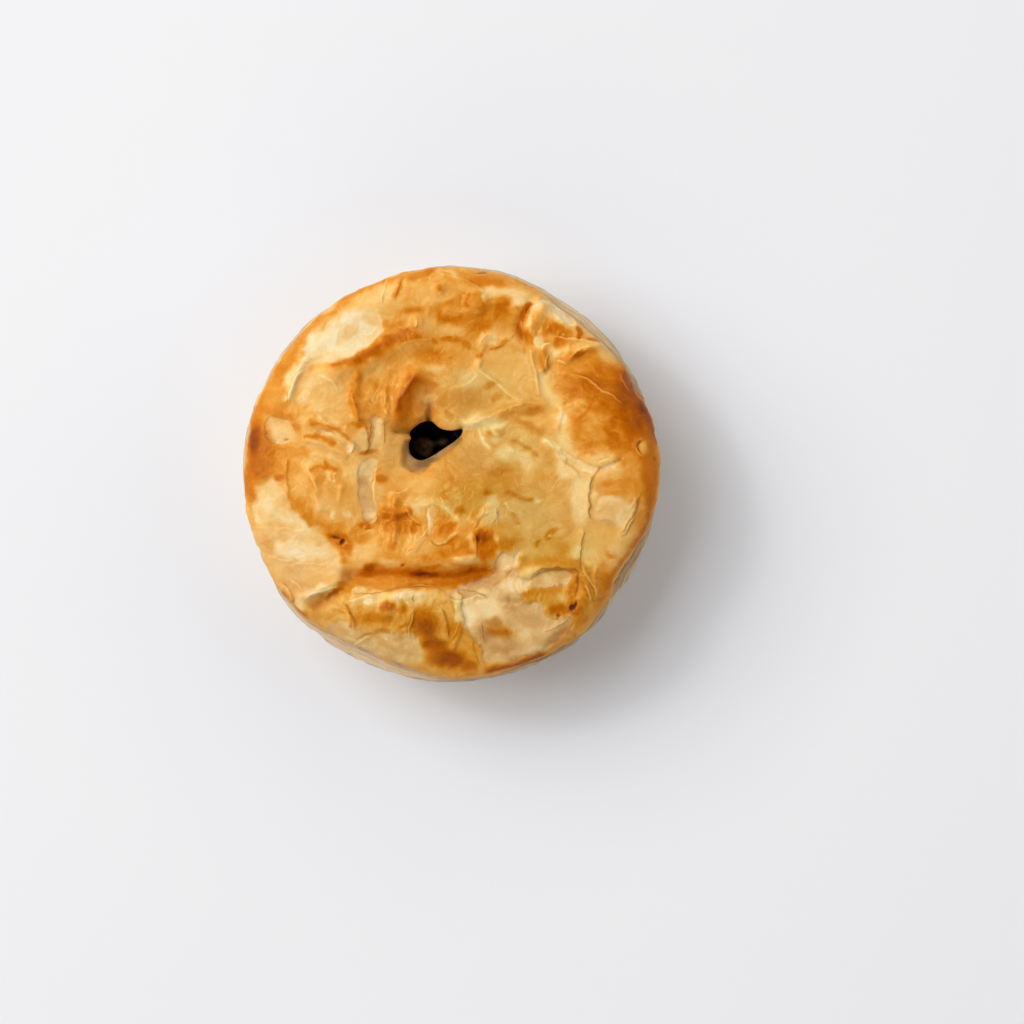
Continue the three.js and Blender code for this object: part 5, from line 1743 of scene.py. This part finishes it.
class Bench:
    """A material's node tree, with one way to add a node."""

    def __init__(self, owner: bpy.types.Material | bpy.types.World, coordinates: str = "Object") -> None:
        """Clears the nodes and reads the coordinates.

        Args:
            owner: The material or world that the nodes belong to.
            coordinates: Which of the coordinate node's outputs places are read from.
        """
        self.owner = owner
        self.owner.use_nodes = True
        self.tree = self.owner.node_tree
        self.tree.nodes.clear()
        self.place = self.node("ShaderNodeTexCoord", {}, {}, coordinates)

    def node(
        self, kind: str, settings: dict[str, Any], inputs: dict[str | int, Any], output: str | int = 0
    ) -> Signal:
        """Adds a node.

        Args:
            kind: The node's type.
            settings: Its properties; "stops" gives a colour ramp's places and colours.
            inputs: Values or signals for its sockets, by name or number.
            output: The socket to hand back.

        Returns:
            That output.
        """
        made = self.tree.nodes.new(kind)
        for key, value in settings.items():
            if key == "stops":
                self._set_stops(made.color_ramp, value)
            else:
                setattr(made, key, value)
        for key, value in inputs.items():
            if isinstance(value, Signal):
                self.tree.links.new(value.socket, made.inputs[key])
            else:
                made.inputs[key].default_value = value
        return Signal(self, made.outputs[output])

    @staticmethod
    def _set_stops(ramp: bpy.types.ColorRamp, stops: Sequence[tuple[float, Colour]]) -> None:
        """Gives a colour ramp its stops.

        Args:
            ramp: The ramp, changed in place.
            stops: Places from 0 to 1 and their colours.
        """
        while len(ramp.elements) < len(stops):
            ramp.elements.new(1.0)
        for element, (place, colour) in zip(ramp.elements, stops):
            element.position = place
            element.color = colour

    def carried(self, mask: Mask) -> Signal:
        """Reads a mask that the mesh carries."""
        return self.node("ShaderNodeAttribute", {"attribute_name": mask.value}, {}, "Fac")

    def cloud(self, size: float, detail: float = 3.0, distortion: float = 0.0) -> Signal:
        """Noise of a size in millimetres, about 0.5 on average."""
        fineness = {"Scale": 1.0 / (size * MM), "Detail": detail, "Distortion": distortion}
        return self.node("ShaderNodeTexNoise", {}, {"Vector": self.place} | fineness)

    def ramp(self, value: Signal, stops: Sequence[tuple[float, Colour]]) -> Signal:
        """A colour for each value."""
        return self.node("ShaderNodeValToRGB", {"stops": stops}, {0: value})

    def mix(
        self, first: Signal | Colour, second: Signal | Colour, share: Signal | float, blend: str = "MIX"
    ) -> Signal:
        """Mixes two colours."""
        inputs = {0: share, 6: first, 7: second}
        return self.node("ShaderNodeMix", {"data_type": "RGBA", "blend_type": blend}, inputs, 2)

    def bump(self, height: Signal, depth: float, strength: float = 1.0) -> Signal:
        """A normal from a height that spans a depth in millimetres."""
        inputs = {"Height": height, "Distance": depth * MM, "Strength": strength}
        return self.node("ShaderNodeBump", {}, inputs)

    def finish(self, inputs: dict[str, Any]) -> bpy.types.Material:
        """Adds the surface shader and the output.

        Args:
            inputs: Values or signals for the surface shader's sockets.

        Returns:
            The finished material.
        """
        surface = self.node("ShaderNodeBsdfPrincipled", {}, inputs)
        self.hand_over("ShaderNodeOutputMaterial", surface)
        return self.owner

    def hand_over(self, kind: str, surface: Signal) -> None:
        """Links a surface to an output node of a kind."""
        made = self.tree.nodes.new(kind)
        self.tree.links.new(surface.socket, made.inputs["Surface"])


GLAZED_STOPS = (
    (0.00, srgb(253, 228, 184)),
    (0.10, srgb(250, 217, 160)),
    (0.20, srgb(246, 203, 132)),
    (0.30, srgb(242, 189, 107)),
    (0.42, srgb(236, 172, 82)),
    (0.50, srgb(230, 157, 62)),
    (0.60, srgb(221, 140, 36)),
    (0.70, srgb(210, 120, 14)),
    (0.80, srgb(190, 97, 2)),
    (0.88, srgb(164, 75, 2)),
    (0.95, srgb(122, 52, 12)),
    (1.00, srgb(80, 30, 14)),
)

BARE_STOPS = (
    (0.00, srgb(250, 228, 186)),
    (0.20, srgb(240, 205, 148)),
    (0.42, srgb(217, 174, 114)),
    (0.60, srgb(192, 147, 92)),
    (0.80, srgb(160, 106, 54)),
    (1.00, srgb(104, 60, 30)),
)


@dataclass(frozen=True)
class GlazedPuff:
    """Egg-washed puff pastry: cream to burnt, glossy on the top leaf and matt where that came away."""

    crack_shade_colour: Colour = srgb(138, 84, 36)
    painted_shade_colour: Colour = srgb(66, 44, 28)
    sallow: Colour = (0.85, 0.99, 1.0, 1.0)
    gloss: float = 0.36
    gloss_tint: Colour = srgb(255, 214, 140)
    translucence: float = 0.5
    scatter: tuple[float, float, float] = (0.9, 0.5, 0.2)

    def material(self) -> bpy.types.Material:
        """Makes the finish.

        Returns:
            The material.
        """
        bench = Bench(bpy.data.materials.new("glazed_puff"))
        over, under, bare = (bench.carried(mask) for mask in (Mask.BROWN, Mask.UNDER, Mask.BARE))
        glaze, pit, depth = (bench.carried(mask) for mask in (Mask.GLAZE, Mask.PIT, Mask.DEPTH))
        pale, dark, crack = (bench.carried(mask) for mask in (Mask.PALE_EDGE_AND_HIGHLIGHT, Mask.DARK, Mask.CRACK))
        blotch, fleck, grain = bench.cloud(1.6, 4.0), bench.cloud(0.7, 3.0), bench.cloud(0.3, 2.0)
        ragged = 0.5 * (fleck - 0.5) + 0.2 * (grain - 0.5)
        torn, edge, slit = (bench.carried(mask) for mask in (Mask.TORN, Mask.EDGE, Mask.CLEFT))
        torn, edge, slit = torn + ragged, edge + 0.3 * ragged, slit + 0.3 * ragged
        cut = torn.ease(-0.05, 0.05)
        # Just inside a torn edge the leaf below is darker: painted shadow of the torn leaf's edge
        brown = over + (under - over) * cut + 0.10 * cut * (1 - torn.ease(0.0, 0.3))
        onto = edge.ease(-0.04, 0.05)
        lit = onto * (1 - edge.ease(0.12, 0.42))
        shaded = (1 - onto) * edge.ease(-0.5, -0.04)
        cleft = crack * slit.ease(-0.17, -0.02) * (1 - slit.ease(0.02, 0.17))
        # Painted highlight on the leaf's side of each edge, and painted shadow on the side below it
        brown = brown + 0.8 * dark * shaded - 1.25 * pale * lit
        leaves = 8.0 * bench.cloud(3.4, 2.2, 0.5)
        count, part = leaves.floor(), leaves.fraction()
        # Each leaf is paler just past its edge: painted highlight
        lip = part.ease(0.0, 0.16)
        leaf_tone = 0.03 * (2.4 * count).sine() + 0.03 * lip
        calm = 1 - 0.6 * over.ease(0.62, 0.85)
        mottle = leaf_tone + 0.10 * (blotch - 0.5) + 0.08 * (fleck - 0.5) + 0.08 * (grain - 0.5)
        tone = brown + calm * mottle - 0.026
        sallow = bench.carried(Mask.SALLOW)
        golden = bench.mix(bench.ramp(tone, GLAZED_STOPS), self.sallow, sallow, "MULTIPLY")
        colour = bench.mix(golden, bench.ramp(tone, BARE_STOPS), bare)
        # Painted shade in cracks and pits
        cracked = bench.mix(colour, self.crack_shade_colour, 0.75 * pit.ease(0.15, 1.0) + 0.9 * cleft)
        # Painted shade in the vent, its slits and its ledge
        deep = bench.mix(cracked, self.painted_shade_colour, depth.ease(0.0, 0.95))
        height = 0.22 * (count + lip) + 0.5 * blotch + 0.4 * fleck + 0.25 * grain
        height = height + 1.2 * (pale + dark) * onto - 1.0 * cleft - 0.4 * cut
        return bench.finish({
            "Base Color": deep,
            "Roughness": 0.62 - 0.40 * glaze * blotch.ease(0.2, 0.5),
            "Specular IOR Level": self.gloss,
            "Specular Tint": self.gloss_tint,
            "Subsurface Weight": self.translucence,
            "Subsurface Radius": self.scatter,
            "Subsurface Scale": MM,
            "Normal": bench.bump(height, 0.3, 0.4),
        })


@dataclass(frozen=True)
class BakedShortcrust:
    """Pale baked shortcrust: matt, floury and faintly browned."""

    flour: Colour = srgb(218, 206, 188)
    painted_shade_colour: Colour = srgb(120, 94, 66)
    gloss: float = 0.1
    translucence: float = 0.06
    scatter: tuple[float, float, float] = (1.0, 0.6, 0.3)

    def material(self) -> bpy.types.Material:
        """Makes the finish.

        Returns:
            The material.
        """
        bench = Bench(bpy.data.materials.new("baked_shortcrust"))
        brown, bare = bench.carried(Mask.BROWN), bench.carried(Mask.BARE)
        blotch, fleck, grain = bench.cloud(3.0, 4.0), bench.cloud(0.8, 3.0), bench.cloud(0.3, 2.0)
        tone = brown + 0.20 * (blotch - 0.5) + 0.12 * (fleck - 0.5)
        floury = bench.mix(bench.ramp(tone, BARE_STOPS), self.flour, bare * (0.45 + 0.5 * fleck))
        # Painted shadow of the lid's edge along the rim
        shaded = bench.mix(floury, self.painted_shade_colour, bench.carried(Mask.DEPTH))
        height = 0.4 * blotch + 0.35 * fleck + 0.25 * grain
        return bench.finish({
            "Base Color": shaded,
            "Roughness": 0.62 + 0.2 * (fleck - 0.5),
            "Specular IOR Level": self.gloss,
            "Subsurface Weight": self.translucence,
            "Subsurface Radius": self.scatter,
            "Subsurface Scale": MM,
            "Normal": bench.bump(height, 0.4, 0.5),
        })


@dataclass(frozen=True)
class DarkGravy:
    """Gravy with lumps of meat, wet; its near-black colour also holds painted shade of the vent above it."""

    # Dark gravy, darkened further to stand for the painted shade inside the vent
    gravy: Colour = srgb(14, 7, 5)
    meat: Colour = srgb(150, 112, 76)
    gloss: float = 0.1

    def material(self) -> bpy.types.Material:
        """Makes the finish.

        Returns:
            The material.
        """
        bench = Bench(bpy.data.materials.new("dark_gravy"))
        lump, mottle = bench.carried(Mask.BROWN), bench.cloud(1.2, 3.0)
        colour = bench.mix(self.gravy, self.meat, lump.ease(0.7, 1.5) * mottle.ease(0.15, 0.6))
        return bench.finish({
            "Base Color": colour,
            "Roughness": 0.35 + 0.2 * mottle,
            "Specular IOR Level": self.gloss,
            "Normal": bench.bump(mottle, 0.3, 0.5),
        })


@dataclass(frozen=True)
class PaleSweep:
    """The plain pale floor."""

    colour: Colour = srgb(240, 240, 242)
    near_colour: Colour = srgb(237, 239, 244)
    near: float = 40.0
    far: float = 80.0

    def material(self) -> bpy.types.Material:
        """Makes the finish: a little cooler near the pie, whose pastry warms the floor.

        Returns:
            The material.
        """
        bench = Bench(bpy.data.materials.new("pale_sweep"))
        away = bench.node("ShaderNodeVectorMath", {"operation": "LENGTH"}, {0: bench.place}, "Value")
        colour = bench.mix(self.near_colour, self.colour, away.ease(self.near * MM, self.far * MM))
        return bench.finish({"Base Color": colour, "Roughness": 0.9})


# Studio

@dataclass(frozen=True)
class Softbox:
    """A large square light that faces the pie."""

    name: str
    azimuth: float
    elevation: float
    power: float
    distance: float = 1600.0
    side: float = 1300.0

    def hang(self) -> None:
        """Hangs the light in the scene."""
        lamp = bpy.data.lights.new(self.name, "AREA")
        lamp.shape = "SQUARE"
        lamp.size = self.side * MM
        lamp.energy = self.power
        box = bpy.data.objects.new(self.name, lamp)
        turn, rise = math.radians(self.azimuth), math.radians(self.elevation)
        away = Vector((math.cos(turn) * math.cos(rise), math.sin(turn) * math.cos(rise), math.sin(rise)))
        box.location = away * self.distance * MM
        box.rotation_euler = away.to_track_quat("Z", "Y").to_euler()
        bpy.context.scene.collection.objects.link(box)


@dataclass
class Studio:
    """Floor, soft light and the camera that looks almost straight down."""

    sizes: PieSizes
    pixels_per_mm: float = 6.4
    picture_side: int = 1024
    pie_pixel: Point = (450.6, 474.0)
    camera_rise: float = 480.0
    camera_lean: Point = (4.0, -10.0)
    sensor: float = 36.0
    floor_half: float = 4000.0
    floor_gap: float = 0.1
    softboxes: tuple[Softbox, ...] = (
        Softbox("key", 153.0, 52.0, 20.6),
        Softbox("glint", 153.0, 52.0, 2.6, side=220.0),
        Softbox("fill_right", 15.0, 42.0, 3.2),
        Softbox("fill_near", 260.0, 42.0, 3.4),
        Softbox("fill_far", 80.0, 42.0, 3.0),
    )
    horizon: float = 0.50
    zenith: float = 0.0

    def build(self) -> None:
        """Makes the floor, the lights and the camera."""
        self.lay_floor()
        self.hang_lights()
        self.set_camera()
        settings = bpy.context.scene.view_settings
        settings.view_transform = "Standard"
        settings.look = "None"

    def lay_floor(self) -> None:
        """Lays the pale floor just under the pie."""
        sheet = bmesh.new()
        bmesh.ops.create_grid(sheet, x_segments=1, y_segments=1, size=self.floor_half * MM)
        bmesh.ops.translate(sheet, verts=sheet.verts, vec=(0, 0, -self.floor_gap * MM))
        mesh = as_mesh("floor", sheet)
        mesh.materials.append(PaleSweep().material())
        floor = bpy.data.objects.new("floor", mesh)
        bpy.context.scene.collection.objects.link(floor)

    def hang_lights(self) -> None:
        """Hangs the softboxes in a sky that is pale low down and dark overhead."""
        for softbox in self.softboxes:
            softbox.hang()
        bench = Bench(bpy.data.worlds.new("low_sky"), "Generated")
        height = bench.node("ShaderNodeSeparateXYZ", {}, {0: bench.place}, "Z")
        fall = {"Value": height, "To Min": self.horizon, "To Max": self.zenith}
        strength = bench.node("ShaderNodeMapRange", {}, fall)
        white = {"Color": (1.0, 1.0, 1.0, 1.0), "Strength": strength}
        bench.hand_over("ShaderNodeOutputWorld", bench.node("ShaderNodeBackground", {}, white))
        bpy.context.scene.world = bench.owner

    def set_camera(self) -> None:
        """Hangs the camera over the picture's middle, leaning a little, aimed to frame the pie as shown."""
        middle = self.picture_side / 2
        aim_x = (middle - self.pie_pixel[0]) / self.pixels_per_mm
        aim_y = (self.pie_pixel[1] - middle) / self.pixels_per_mm
        aim = Vector((aim_x, aim_y, self.sizes.rim_height)) * MM
        lens = bpy.data.cameras.new("overhead")
        lens.sensor_width = self.sensor
        lens.lens = self.sensor * self.camera_rise * self.pixels_per_mm / self.picture_side
        camera = bpy.data.objects.new("overhead", lens)
        camera.location = aim + Vector((*self.camera_lean, self.camera_rise)) * MM
        back = (camera.location - aim).normalized()
        right = Vector((0, 1, 0)).cross(back).normalized()
        camera.rotation_euler = Matrix((right, back.cross(right), back)).transposed().to_euler()
        bpy.context.scene.collection.objects.link(camera)
        bpy.context.scene.camera = camera


def main() -> None:
    """Measures the pie, then builds its pieces and the studio round them."""
    logging.basicConfig(level=logging.INFO, format="%(name)s %(message)s")
    sizes = PieSizes.from_frame()
    Studio(sizes).build()
    lid = PastryLid(sizes)
    PastryCase(sizes, lid).build()
    Filling(sizes).build()
    lid.build()


if __name__ == "__main__":
    main()
